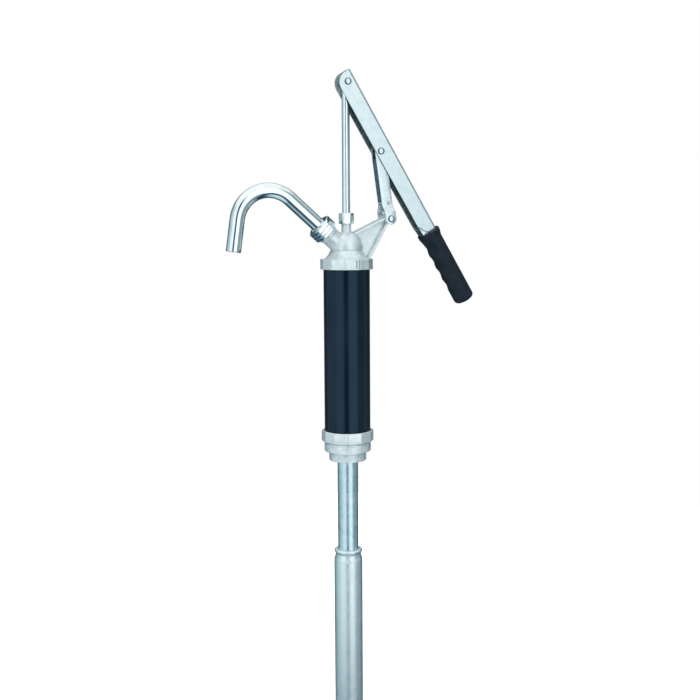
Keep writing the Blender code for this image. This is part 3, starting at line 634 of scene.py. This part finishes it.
# ---- pump head
COLLAR_SIDES = 12
COLLAR_R = 34.2
COLLAR_TURN = radians(4.6)
COLLAR_BOTTOM = 224.0
COLLAR_TOP = 237.4
DOME_Z = 251.0
DOME_R = 21.3
NECK_R = 6.3
NECK_TOP = 284.5
ROD_HOLE_R = 5.3
LUG_BUSH_R = 4.6
PIN_R = 3.0                 # the three rivets' pins


def dome_outline():
    """Flared skirt, dome and neck as (radius, z), bottom up."""
    crease_z = 248.4
    flare = 18.1
    crease = asin((crease_z - DOME_Z) / DOME_R)
    first = radians(15.0)
    last = radians(60.0)
    slopes = [last + (first - last) * i / 12 for i in range(13)]
    skirt = [(DOME_R * cos(crease) + flare * (cos(first) - cos(slope)),
              crease_z - flare * (sin(slope) - sin(first))) for slope in slopes]
    neck_angle = acos((NECK_R + 0.8) / DOME_R)
    angles = [crease + (neck_angle - crease) * i / 24 for i in range(1, 25)]
    dome = [(DOME_R * cos(angle), DOME_Z + DOME_R * sin(angle)) for angle in angles]
    half_notch = 0.2
    skirt[-1] = (skirt[-1][0] - 0.9, crease_z - half_notch)
    dome.insert(0, (DOME_R * cos(crease) - 0.5, crease_z + half_notch))
    neck = [(NECK_R + 0.2, 272.6), (NECK_R, 275.0), (NECK_R, NECK_TOP)]
    return [(skirt[0][0], COLLAR_TOP - 1.0)] + skirt + dome + neck


def cavity_outline():
    """Inside of the head as (radius, z): tube socket, dome and the rod's passage."""
    inner_r = 18.0
    socket_r = TUBE_R + CLEARANCE
    socket_top = 235.8
    ceiling = 262.0
    top_angle = asin((ceiling - DOME_Z) / inner_r)
    dome = [(inner_r * cos(top_angle * i / 8), DOME_Z + inner_r * sin(top_angle * i / 8))
            for i in range(9)]
    passage = [(8.5, ceiling), (8.5, 268.0), (ROD_HOLE_R, 268.0), (ROD_HOLE_R, NECK_TOP + 1.0)]
    return [(socket_r, COLLAR_BOTTOM - 1.0), (socket_r, socket_top), (26.0, socket_top),
            (22.0, 241.0)] + dome + passage


def strip(start, end, thickness, half_width, edge=0.8):
    """Bar whose face runs from start to end in XZ and which lies on that line's right."""
    line = Vector((end[0] - start[0], end[1] - start[1]))
    across = Vector((line.y, -line.x)).normalized()
    outline = rounded([(-half_width, 0.0, edge), (half_width, 0.0, edge),
                       (half_width, thickness, edge), (-half_width, thickness, edge)])
    return loft([[(x + across.x * v, u, z + across.y * v) for u, v in outline]
                 for x, z in (start, end)])


def lug_pieces():
    """The link's bracket: thin web, two flanges and the pivot boss."""
    x = lug_pivot.x / MM
    z = lug_pivot.z / MM
    web = [(12.0, 268.0), (x, z + 2.0), (x - 1.5, z - 4.0), (29.0, 239.0), (24.0, 238.0),
           (19.0, 250.0)]
    web_half = 1.9
    thickness = 3.0
    flange_half = 9.0
    return [loft([[(u, y, v) for u, v in web] for y in (-web_half, web_half)]),
            strip((8.0, 270.3), (x, z + 4.9), thickness, flange_half),
            strip((x + 1.4, z), (29.6, 236.8), thickness, flange_half),
            cross_pin(6.5, 10.8, x, z)]


def collar_mark(half_width, half_height, low, high):
    """Block at the collar's front, from low to high outside the facet."""
    mark = bar((low, -half_width, -half_height), (high, half_width, half_height), 0.1)
    facing = Matrix.Rotation(COLLAR_TURN - radians(90.0), 4, "Z")
    facet = COLLAR_R * cos(pi / COLLAR_SIDES)
    height = 230.6
    at = facing @ Matrix.Translation((facet, 0.0, height))
    bmesh.ops.transform(mark, matrix=at, verts=mark.verts)
    return mark


def build_pump_head():
    """Collar, dome, spout boss, neck and bracket, blended as one casting."""
    turn = COLLAR_TURN
    shape = polygon(COLLAR_SIDES, 2 * COLLAR_R * cos(pi / COLLAR_SIDES), turn, 0.1)
    collar = loft([ring(shape, z, POLY_ROUND, turn) for z in (COLLAR_BOTTOM, COLLAR_TOP)])
    head = add_piece("pump_head_casting", collar)
    boss = turned([(12.0, 8.0, 0.0), (12.0, 31.4, 0.5), (13.2, 31.8, 0.4), (13.2, 34.6, 0.4),
                   (12.0, 35.2, 0.3), (12.0, 39.4, 0.0)])
    spout_bore = turned([(SPOUT_INNER_R, 10.0, 0.0), (SPOUT_INNER_R, 42.0, 0.0)],
                        SMALL_ROUND)
    joined = [loft([ring(r, z, ROUND) for r, z in dome_outline()]), (boss, SPOUT)]
    joined += lug_pieces()
    bush_seat = cross_pin(LUG_BUSH_R + CLEARANCE, 12.0, lug_pivot.x / MM, lug_pivot.z / MM)
    cut = [loft([ring(r, z, ROUND) for r, z in cavity_outline()]), (spout_bore, SPOUT),
           bush_seat, collar_mark(2.7, 5.0, -1.3, 3.0)]
    combine(head, joined, cut)
    combine(head, [collar_mark(1.1, 4.4, -2.0, 0.9)])
    voxels = head.modifiers.new("voxels", "REMESH")
    voxels.mode = "VOXEL"
    voxels.voxel_size = 0.42 * MM
    smooth = head.modifiers.new("smooth", "SMOOTH")
    smooth.factor = 0.5
    smooth.iterations = 2
    bake_modifiers(head, sharp=radians(180.0))
    finish_piece(head, CAST, "cast_metal", "root", "pump_head")


def build_gland_nut():
    z0, z1 = node_z("gland_nut")
    thread_r = NECK_R + CLEARANCE
    throat = 292.0
    bore = [(ROD_HOLE_R + 0.6, z1, 0.0), (ROD_HOLE_R, z1 - 0.6, 0.0), (ROD_HOLE_R, throat, 0.0),
            (thread_r, throat, 0.0), (thread_r, z0 + 0.4, 0.0), (thread_r + 0.5, z0, 0.0)]
    shape = nut(17.8, z0, z1, radians(44.0), bore)
    finish_piece(add_piece("gland_nut_plated", shape), CHROME, "chrome_plate", "root",
                 "gland_nut")


def build_rod():
    """Plated rod with a flat eye; heights are measured from the rod pivot."""
    low = node_z("piston_rod")[0] - rod_top.z / MM
    radius = 5.0
    rod = add_piece("piston_rod_plated", turned([
        (radius - 1.2, low, 0.0), (radius, low + 1.2, 0.3), (radius, -3.0, 0.0),
        (4.6, -2.0, 0.0)], SMALL_ROUND), ROD)
    combine(rod, [cross_pin(7.4, 6.0, edge=0.4)], [cross_pin(PIN_R + CLEARANCE, 8.0)])
    finish_piece(rod, CHROME, "chrome_plate", "rod", "piston_rod")


# ---- spout
SPOUT_R = 9.5
SPOUT_INNER_R = 8.0
SPOUT_START = 41.6          # along the boss's axis
BEND_START = 101.2
BEND_R = 41.5
BEND = radians(123.0)
SPOUT_LEG = 40.6            # straight run to the mouth


def spout_stations():
    """Centreline of the tube as (x, z, heading) in the boss's frame."""
    stations = [(0.0, z, 0.0) for z in (SPOUT_START, SPOUT_START + 0.4, 72.0, BEND_START)]
    steps = 44
    for i in range(1, steps + 1):
        t = BEND * i / steps
        stations.append((-BEND_R * (1 - cos(t)), BEND_START + BEND_R * sin(t), t))
    x, z, t = stations[-1]
    for run in (SPOUT_LEG / 2, SPOUT_LEG - 0.9, SPOUT_LEG - 0.4, SPOUT_LEG - 0.1, SPOUT_LEG):
        stations.append((x - run * sin(t), z + run * cos(t), t))
    return stations


def spout_loop(station, radius):
    """Loop around the centreline at a station."""
    x, z, t = station
    segments = 64
    return [(x + radius * cos(a) * cos(t), radius * sin(a), z + radius * cos(a) * sin(t))
            for a in (tau * i / segments for i in range(segments))]


def build_spout():
    stations = spout_stations()
    plain = len(stations) - 3
    outer = [SPOUT_R] * plain + [9.4, 9.15, 8.85]
    inner = [SPOUT_INNER_R] * plain + [8.05, 8.2, 8.45]
    loops = [spout_loop(s, r) for s, r in zip(stations, outer)]
    loops += [spout_loop(s, r) for s, r in zip(reversed(stations), reversed(inner))]
    tube = add_piece("spout_tube_plated", loft(loops, closed=True), SPOUT)
    finish_piece(tube, CHROME, "chrome_plate", "spout", "spout_tube")


def build_union_nut():
    z0 = 35.8
    z1 = 50.8
    throat = 44.5
    hole_r = 10.1
    thread_r = 12.3
    bore = [(hole_r + 0.8, z1, 0.0), (hole_r, z1 - 0.8, 0.0), (hole_r, throat, 0.0),
            (thread_r, throat, 0.0), (thread_r, z0 + 0.5, 0.0), (thread_r + 0.6, z0, 0.0)]
    grooves = [(z, 0.5, 14.4) for z in (40.6, 45.4)]
    shape = nut(30.6, z0, z1, radians(54.0), bore, grooves)
    finish_piece(add_piece("union_nut_plated", shape, SPOUT), CHROME, "chrome_plate", "root",
                 "union_nut")


# ---- lever
SHEET = 1.8
CHANNEL_HALF_W = 9.0
CHANNEL_END_R = 15.0
TANG_HALF_W = 7.4           # the tang is the part inside the grip
TANG_HALF_H = 7.2
WEB = 10.9                  # offsets from the rod pivot
OPEN_EDGE = -12.6
CHANNEL_TOP = -12.0         # stations along the lever, from the rod pivot
PRESS_START = 206.4
NECK_START = 218.0
NECK_END = 234.0
TANG_END = 316.0
RIVET_HEAD_R = 4.5
RIVET_HEAD_H = 2.3


def smooth_step(value, start, end):
    """0 before start, 1 after end, smooth between."""
    t = min(max((value - start) / (end - start), 0.0), 1.0)
    return t * t * (3 - 2 * t)


def channel_size(s):
    """Web offset, open edge and half width at s; the channel necks down into the grip."""
    part = smooth_step(s, NECK_START, NECK_END)
    edge = OPEN_EDGE + 0.7 * smooth_step(s, 60.0, 200.0)
    edge += 1.1 * smooth_step(s, PRESS_START, GRIP_START)
    return (WEB + (TANG_HALF_H - WEB) * part, edge + (-TANG_HALF_H - edge) * part,
            CHANNEL_HALF_W + (TANG_HALF_W - CHANNEL_HALF_W) * part)


def crease_height(s):
    """Height over the open edge of the crease pressed in the cheek beside the grip."""
    return 0.50 * min(max(s - PRESS_START, 0.0), 16.0)


def channel_side(s, web, open_edge, half_width, offset):
    """Left side of the U as (y, z), from the open edge up to the web.

    Beside the grip the cheek is pressed in a little below a grooved, slanting crease.
    """
    bend = 3.4
    steps = 44
    half_groove = 1.6
    tuck = 0.08
    height = web - bend - open_edge
    crease = crease_height(s)
    groove_depth = 0.72 * smooth_step(s, PRESS_START, PRESS_START + 3.0)
    side = []
    for i in range(steps + 1):
        up = height * i / steps
        groove = groove_depth * max(0.0, 1 - abs(up - crease) / half_groove)
        side.append((-half_width + offset + tuck * max(crease - up, 0.0) + groove,
                     open_edge + up))
    r = bend - offset
    return side + [(-half_width + bend - r * cos(t), web - bend + r * sin(t))
                   for t in (radians(90.0) * i / 6 for i in range(1, 7))]


def channel_section(s, web, open_edge, half_width, inset=0.0):
    """U section at s along the lever: web at +Z, open towards -Z; outside first."""
    outer = channel_side(s, web, open_edge, half_width, inset)
    inner = channel_side(s, web, open_edge, half_width, SHEET - inset)
    round_edge = 0.35
    for wall, lean in ((outer, round_edge), (inner, -round_edge)):
        y, z = wall[0]
        wall[0] = (y, z + round_edge)
        wall.insert(0, (y + lean, z))
    right = [(-y, z) for y, z in reversed(outer)]
    inside_right = [(-y, z) for y, z in inner]
    inside_left = list(reversed(inner))
    return [(s, y, z) for y, z in outer + right + inside_right + inside_left]


def channel_sections():
    """Sections of the lever: rounded end, plain run, pressed part and tang in the grip."""
    centre = CHANNEL_TOP + CHANNEL_END_R
    start_angle = radians(9.0)
    sections = []
    steps = 20
    for i in range(steps + 1):
        t = start_angle + (radians(90.0) - start_angle) * i / steps
        s = centre - CHANNEL_END_R * cos(t)
        edge = OPEN_EDGE + CHANNEL_END_R * (1 - sin(t))
        inset = 0.3 if i == 0 else 0.0
        sections.append(channel_section(s, WEB - inset, edge, CHANNEL_HALF_W, inset=inset))
    plain = [20.0 + 10.0 * i for i in range(19)]
    pressed = [PRESS_START - 2.0 + 0.6 * i for i in range(55)]
    sections += [channel_section(s, *channel_size(s)) for s in plain + pressed + [TANG_END]]
    return sections


def build_channel():
    """Pressed U channel, with painted shade inside and along the crease beside the grip."""
    sections = channel_sections()
    channel = add_piece("lever_channel_pressed", loft(sections), LEVER)
    count = len(sections[0])
    for i, face in enumerate(channel.data.polygons):
        s, _, z = face.center / MM
        over_crease = z - channel_size(s)[1] - crease_height(s)
        in_crease = s > PRESS_START + 1.5 and 0.1 < over_crease < 1.1
        inside = i % count >= count // 2
        # the inside faces and the crease get the painted shade
        face.material_index = int(inside or in_crease)
    hole_r = PIN_R + CLEARANCE
    combine(channel, cut=[cross_pin(hole_r, 12.0),
                          cross_pin(hole_r, 12.0, LINK_PIVOT_ALONG, LINK_PIVOT_OFF)])
    finish_piece(channel, [PRESSED_ZINC, SHADED_ZINC], "zinc_plate", "lever", "handle_channel")


def rivet_outline(seat, inner):
    """Domed rivet head outside seat and its pin in to inner, as (radius, z)."""
    bulge = 0.84                # under 1 is flatter on top than a sphere
    rim = 0.6
    dome = [(RIVET_HEAD_R * sin(t) ** bulge, seat + rim + (RIVET_HEAD_H - rim) * cos(t) ** bulge)
            for t in (radians(4.0 + 85.9 * i / 13) for i in range(14))]
    return dome + [(RIVET_HEAD_R - 0.2, seat + 0.4), (RIVET_HEAD_R - 0.9, seat), (PIN_R, seat),
                   (PIN_R, inner)]


def through_rivet(half_grip):
    """Rivet along Y with a head outside half_grip on each side."""
    half = rivet_outline(half_grip, 0.0)[:-1]
    other = [(r, -z) for r, z in reversed(half)]
    return laid_along_y(loft([ring(r, z, SMALL_ROUND) for r, z in half + other]))


def shade_rivet_rim(head, x=0.0, z=0.0):
    """Gives the steep flank of rivet heads around a Y axis the darker metal, a painted shade around the head."""
    flank_r = 0.72 * RIVET_HEAD_R
    for face in head.data.polygons:
        radius = hypot(face.center.x / MM - x, face.center.z / MM - z)
        face.material_index = int(radius > flank_r)


def build_rivets():
    """Rod rivet, the link rivet's two stubs and the rivet through the bracket's boss."""
    seat = CHANNEL_HALF_W + 0.1
    rod_rivet = add_piece("rod_rivet", through_rivet(seat), LEVER)
    shade_rivet_rim(rod_rivet)
    finish_piece(rod_rivet, RIVET_ZINC_AND_RIM_SHADE, "zinc_plate", "lever", "rod_pivot_rivet")
    for name, side in (("link_rivet_near", -1), ("link_rivet_far", 1)):
        outline = rivet_outline(seat, CHANNEL_HALF_W - SHEET)
        stub = loft([ring(r, side * z, SMALL_ROUND) for r, z in outline])
        laid_along_y(stub, LINK_PIVOT_ALONG, LINK_PIVOT_OFF)
        head = add_piece(name + "_head", stub, LEVER)
        shade_rivet_rim(head, LINK_PIVOT_ALONG, LINK_PIVOT_OFF)
        finish_piece(head, RIVET_ZINC_AND_RIM_SHADE, "zinc_plate", "lever", name)
    lug = add_piece("lug_rivet_heads", through_rivet(LINK_FORK_Y + 0.1), LUG)
    shade_rivet_rim(lug)
    finish_piece(lug, RIVET_ZINC_AND_RIM_SHADE, "zinc_plate", "root", "lug_rivet")


GRIP_START = 221.5
GRIP_END = 329.0
GRIP_R = 13.8
GRIP_FLANGE_R = 15.6
GRIP_OFFSET = 1.0


def grip_radius(s, angle):
    """Grip surface: rimmed mouth, four finger hollows on the -Z side, a faint seam."""
    rim = GRIP_FLANGE_R - GRIP_R
    flare = rim * (1 - smooth_step(s, GRIP_START + 3.0, GRIP_START + 13.0))
    pitch = 19.0
    first = 232.0
    last = first + 4 * pitch
    wave = (1 - cos(tau * (s - first) / pitch)) / 2
    inside = smooth_step(s, first, first + 2.0) * (1 - smooth_step(s, last - 2.0, last))
    under = max(-cos(angle), 0.0) ** 1.3
    hollow = 1.6 * wave * inside * under
    seam_off = min(abs(angle - pi / 2), abs(angle - 3 * pi / 2))
    seam = 0.22 * max(0.0, 1 - seam_off / radians(2.2))
    return GRIP_R + flare - hollow + seam


def grip_loop(s, inset=0.0):
    """Loop around the grip at s; the angle starts at +Z."""
    loop = []
    for i in range(ROUND):
        angle = tau * i / ROUND
        r = grip_radius(s, angle) - inset
        loop.append((s, r * sin(angle), r * cos(angle) + GRIP_OFFSET))
    return loop


def grip_bore_loop(s):
    """The grip's bore follows the channel's outline with a small gap all round."""
    web, edge, half = channel_size(s)
    left = channel_side(s, web, edge - CLEARANCE, half, -CLEARANCE)
    return [(s, y, z) for y, z in left + [(-y, z) for y, z in reversed(left)]]


def build_grip():
    """Moulded rubber sleeve with its bore; the far end is closed and domed."""
    mouth = 1.2
    loops = [grip_loop(GRIP_START + mouth - mouth * cos(t), mouth * (1 - sin(t)))
             for t in (radians(90.0) * i / 5 for i in range(6))]
    edge = 5.0
    last = GRIP_END - edge
    first = GRIP_START + 2.0
    run = 110
    loops += [grip_loop(first + (last - first) * i / run) for i in range(run + 1)]
    loops += [grip_loop(last + edge * sin(t), edge * (1 - cos(t)))
              for t in (radians(90.0) * i / 10 for i in range(1, 11))]
    loops += [grip_loop(GRIP_END + 0.05, edge + 3.0)]
    grip = add_piece("grip_moulded", loft(loops), LEVER)
    bore = loft([grip_bore_loop(GRIP_START - 1.0 + i) for i in range(17)] +
                [grip_bore_loop(s) for s in (NECK_END + 2.0, TANG_END + 0.5)])
    combine(grip, cut=[bore])
    finish_piece(grip, RUBBER, "black_rubber", "lever", "hand_grip")


# ---- link
LINK_HALF_W = 7.4
LINK_NECK_Y = 6.7
LINK_FORK_Y = 13.0
FLARE_START = 19.5
FLARE_END = 8.5


def cheek_section(side, z, width):
    """Rounded strip across one cheek of the link at height z."""
    neck = LINK_NECK_Y - SHEET / 2
    fork = LINK_FORK_Y - SHEET / 2
    y = side * (fork + (neck - fork) * smooth_step(z, FLARE_END, FLARE_START))
    half = SHEET / 2
    edge = 0.45
    outline = rounded([(-width, y - half, edge), (width, y - half, edge),
                       (width, y + half, edge), (-width, y + half, edge)], steps=3)
    return [(x, v, z) for x, v in outline]


def link_cheek(side):
    """One cheek of the link, along +Z from the lug pivot, flared around the lug."""
    ends = [LINK_HALF_W * cos(radians(angle)) for angle in range(8, 86, 7)]
    least_width = 0.95
    levels = [-z for z in ends] + [0.0, 5.0, FLARE_END]
    levels += [FLARE_END + (FLARE_START - FLARE_END) * i / 12 for i in range(1, 13)]
    levels += [LINK_LENGTH] + [LINK_LENGTH + z for z in reversed(ends)]
    sections = []
    for z in levels:
        past = max(-z, z - LINK_LENGTH, 0.0)
        width = sqrt(LINK_HALF_W ** 2 - past ** 2)
        sections.append(cheek_section(side, z, max(width, least_width)))
    return loft(sections)


def build_link():
    """Pressed channel arm: two cheeks that flare into the fork, web and dimples."""
    link = add_piece("link_arm_pressed", link_cheek(-1), LINK)
    inside = LINK_NECK_Y - 0.5
    web = bar((-LINK_HALF_W, -inside, FLARE_START + 3.0),
              (-LINK_HALF_W + SHEET, inside, LINK_LENGTH - 9.0), 0.3)
    dimple = cross_pin(2.4, LINK_FORK_Y + 1.0, 1.4, 20.5)
    holes = [cross_pin(PIN_R + CLEARANCE, 14.0, 0.0, z) for z in (0.0, LINK_LENGTH)]
    combine(link, [web, link_cheek(1)], holes + [dimple])
    finish_piece(link, PRESSED_ZINC, "zinc_plate", "link", "link_arm")


# ---- suction pipe
UPPER_R = 13.5
LOWER_R = 18.75


def build_upper_pipe():
    low, high = node_z("suction_tube_upper")
    inner_r = 12.1
    pipe = lathe([(inner_r, low, 0.2), (UPPER_R, low, 0.4), (UPPER_R, high, 0.4),
                  (inner_r, high, 0.2)])
    finish_piece(add_piece("suction_pipe_upper", pipe), TUBE_ZINC, "zinc_plate", "root",
                 "suction_tube_upper")


def crimped(radius, z, crimp_top):
    """Radius of the lower pipe with three pressed crimps: short arched top, long ramp out."""
    first = radians(-112.0)
    arch = 0.16
    full_depth = 0.48

    def shape(angle):
        depth = 0.0
        for i in range(3):
            off = (angle - first - tau * i / 3 + pi) % tau - pi
            across = abs(off) * radius
            below = crimp_top - arch * across ** 2 - z
            ramp = smooth_step(below, 0.0, 1.5) * (1 - smooth_step(below, 1.5, 6.0))
            depth = max(depth, full_depth * ramp * (1 - smooth_step(across, 2.6, 3.6)))
        return radius - depth
    return shape


def build_lower_pipe():
    """Rolled bead, groove and crimped shoulder, then the plain pipe."""
    low, top = node_z("suction_tube_lower")
    slide_r = UPPER_R + CLEARANCE
    inner_r = 17.25
    segments = 192
    bead = [(17.2, 0.0), (18.1, 0.5), (18.5, 1.3), (18.6, 2.2), (18.4, 3.2), (17.8, 4.1),
            (17.2, 4.9), (16.9, 6.0), (16.9, 7.2), (17.1, 8.6)]
    outer = [(r, top - drop) for r, drop in bead]
    crimp_top = top - 10.2
    cone_r = 17.5
    cone_slope = 0.38
    outer += [(min(LOWER_R, cone_r + cone_slope * (top - 10.0 - z)), z)
              for z in (crimp_top + 0.2 - 0.2 * i for i in range(36))]
    outer += [(LOWER_R, low + 0.4), (LOWER_R - 0.3, low)]
    inner = [(inner_r + 0.2, low), (inner_r, top - 15.4), (slide_r, top - 12.0), (slide_r, top)]
    loops = [ring(crimped(r, z, crimp_top), z, segments) for r, z in outer]
    loops += [ring(r, z, segments) for r, z in inner]
    pipe = add_piece("suction_pipe_lower", loft(loops, closed=True))
    finish_piece(pipe, PALE_ZINC, "zinc_plate", "suction_lower", "suction_tube_lower")


def build_foot():
    """Rubber strainer foot with four notches."""
    bottom, top = node_z("suction_foot")
    shoulder = node_z("suction_tube_lower")[0] - 0.2
    bore_r = 10.0
    spigot_r = 16.95
    foot = add_piece("suction_foot_moulded", lathe([
        (bore_r, bottom, 0.6), (LOWER_R, bottom, 1.2), (LOWER_R, shoulder, 0.4),
        (spigot_r, shoulder, 0.2), (spigot_r, top, 0.8), (bore_r, top, 0.5)]))
    long = LOWER_R + 2.0
    half = 4.0
    combine(foot, cut=[bar((-x, -y, bottom - 1.0), (x, y, bottom + 6.0))
                       for x, y in ((long, half), (half, long))])
    soften_edges(foot, 0.4)
    finish_piece(foot, SEAL, "seal_rubber", "suction_lower", "suction_foot")


# ---- stage
VIEW_AZIMUTH = radians(-22.0)   # from the front, towards the spout's side
VIEW_PITCH = radians(6.8)
VIEW_ROLL = radians(-0.34)
VIEW_DISTANCE = 1.3663
AIM_HEIGHT = 0.1191
AIM_SIDE = 0.0038
LENS = 54.0
SENSOR = 36.0
FRONT = Vector((sin(VIEW_AZIMUTH), -cos(VIEW_AZIMUTH), 0.0))
SIDE = Vector((cos(VIEW_AZIMUTH), sin(VIEW_AZIMUTH), 0.0))


def build_camera():
    back = FRONT * cos(VIEW_PITCH)
    back.z = sin(VIEW_PITCH)
    data = bpy.data.cameras.new("camera")
    data.lens = LENS
    data.sensor_width = SENSOR
    camera = new_object("camera", data)
    camera.location = Vector((0.0, 0.0, AIM_HEIGHT)) + SIDE * AIM_SIDE + back * VIEW_DISTANCE
    level = (-back).to_track_quat("-Z", "Y").to_matrix().to_4x4()
    camera.rotation_euler = (level @ Matrix.Rotation(VIEW_ROLL, 4, "Z")).to_euler()
    bpy.context.scene.camera = camera


def build_floor():
    """Plain pale floor just under the foot of the pulled-out pipe."""
    radius = 3.2
    gap = 0.0005
    bm = bmesh.new()
    bmesh.ops.create_circle(bm, cap_ends=True, segments=ROUND, radius=radius)
    mesh = bpy.data.meshes.new("floor")
    bm.to_mesh(mesh)
    bm.free()
    floor = new_object("floor", mesh)
    travel = JOINTS["suction_extend"]["range_m"][1]
    floor.location.z = cad_low.z - travel - gap
    paper = bpy.data.materials.new("floor_paper")
    paper.use_nodes = True
    shader = paper.node_tree.nodes["Principled BSDF"]
    shader.inputs["Base Color"].default_value = (0.9, 0.9, 0.9, 1.0)
    shader.inputs["Roughness"].default_value = 0.9
    shader.inputs["Emission Color"].default_value = (1.0, 1.0, 1.0, 1.0)
    shader.inputs["Emission Strength"].default_value = 0.62
    mesh.materials.append(paper)
    floor.visible_glossy = False


class Sky(Nodes):
    """World shader whose brightness depends on the direction only."""

    def __init__(self):
        world = bpy.data.worlds.new("studio")
        bpy.context.scene.world = world
        world.use_nodes = True
        self.tree = world.node_tree
        self.out = self.tree.nodes["Background"]
        self.direction = self.tree.nodes.new("ShaderNodeTexCoord").outputs["Generated"]

    def along(self, axis):
        """How far the direction points along an axis."""
        node = self.tree.nodes.new("ShaderNodeVectorMath")
        node.operation = "DOT_PRODUCT"
        self.fill(node.inputs[0], self.direction)
        node.inputs[1].default_value = axis
        return node.outputs["Value"]

    def window(self, value, low, high, soft):
        """1 between low and high, with soft edges."""
        rise = self.ramp(value, low - soft, low + soft)
        fall = self.ramp(value, high - soft, high + soft)
        return self.math("MULTIPLY", rise, self.math("SUBTRACT", 1.0, fall))

    def ramp(self, value, low, high):
        """0 below low, 1 above high."""
        return self.spread(value, low, high, kind="SMOOTHSTEP")


def build_world():
    """Plain white to the camera, a studio to everything else.

    Each layer is (where, colour), over those before: right side, far left, soft boxes left
    and right in front, the dark gap between them, a dark band and a pale table below, a dark
    back with a dim middle, and a bright ceiling.
    """
    sky = Sky()
    depth = sky.along(FRONT)
    azimuth = sky.math("ARCTAN2", sky.along(SIDE), depth)
    height = sky.along((0.0, 0.0, 1.0))
    below = sky.math("SUBTRACT", 0.0, height)
    behind = sky.math("SUBTRACT", 0.0, depth)
    upright = ((-90.0, -50.0, 7.0, (0.58, 0.71, 0.76)), (-56.0, -12.0, 5.0, (0.98, 1.08, 1.11)),
               (4.0, 53.0, 4.0, (1.18, 1.26, 1.28)), (-15.0, 8.0, 3.0, (0.04, 0.09, 0.15)))
    layers = [(sky.ramp(azimuth, -0.2, 0.2), (0.26, 0.35, 0.39))]
    layers += [(sky.window(azimuth, *map(radians, span)), shade) for *span, shade in upright]
    layers += [
        (sky.ramp(below, 0.56, 0.66), (0.04, 0.09, 0.14)),
        (sky.ramp(below, 0.84, 0.92), (0.62, 0.78, 0.84)),
        (sky.ramp(behind, 0.38, 0.55), (0.04, 0.09, 0.12)),
        (sky.ramp(behind, 0.90, 0.97), (0.34, 0.40, 0.42)),
        (sky.ramp(height, 0.45, 0.70), (1.04, 1.08, 1.08))]
    colour = (0.36, 0.46, 0.49)
    for share, shade in layers:
        colour = sky.mix(share, colour, shade)
    seen = sky.tree.nodes.new("ShaderNodeLightPath").outputs["Is Camera Ray"]
    white = (1.0, 1.0, 1.0)
    sky.tree.links.new(sky.mix(seen, colour, white), sky.out.inputs["Color"])


def add_soft_light(name, location, target, size, power):
    """Round soft light that the metal doesn't mirror."""
    data = bpy.data.lights.new(name, "AREA")
    data.shape = "DISK"
    data.size = size
    data.energy = power
    light = new_object(name, data)
    light.location = location
    light.rotation_euler = (Vector(target) - Vector(location)).to_track_quat("-Z", "Y").to_euler()
    light.visible_glossy = False
    light.visible_camera = False


def build_stage():
    build_camera()
    build_floor()
    build_world()
    middle = (0.0, 0.0, 0.1)
    add_soft_light("key_light", (-1.3, -1.5, 1.6), middle, 1.0, 26.0)
    add_soft_light("back_light", (1.0, 1.6, 1.2), middle, 1.2, 14.0)
    bpy.context.scene.view_settings.view_transform = "Standard"


# ---- assembly
def main():
    build_adaptor()
    build_cylinder()
    build_pump_head()
    build_gland_nut()
    build_rod()
    build_spout()
    build_union_nut()
    build_channel()
    build_rivets()
    build_grip()
    build_link()
    build_upper_pipe()
    build_lower_pipe()
    build_foot()
    dress_inner_nodes()
    build_stage()


main()
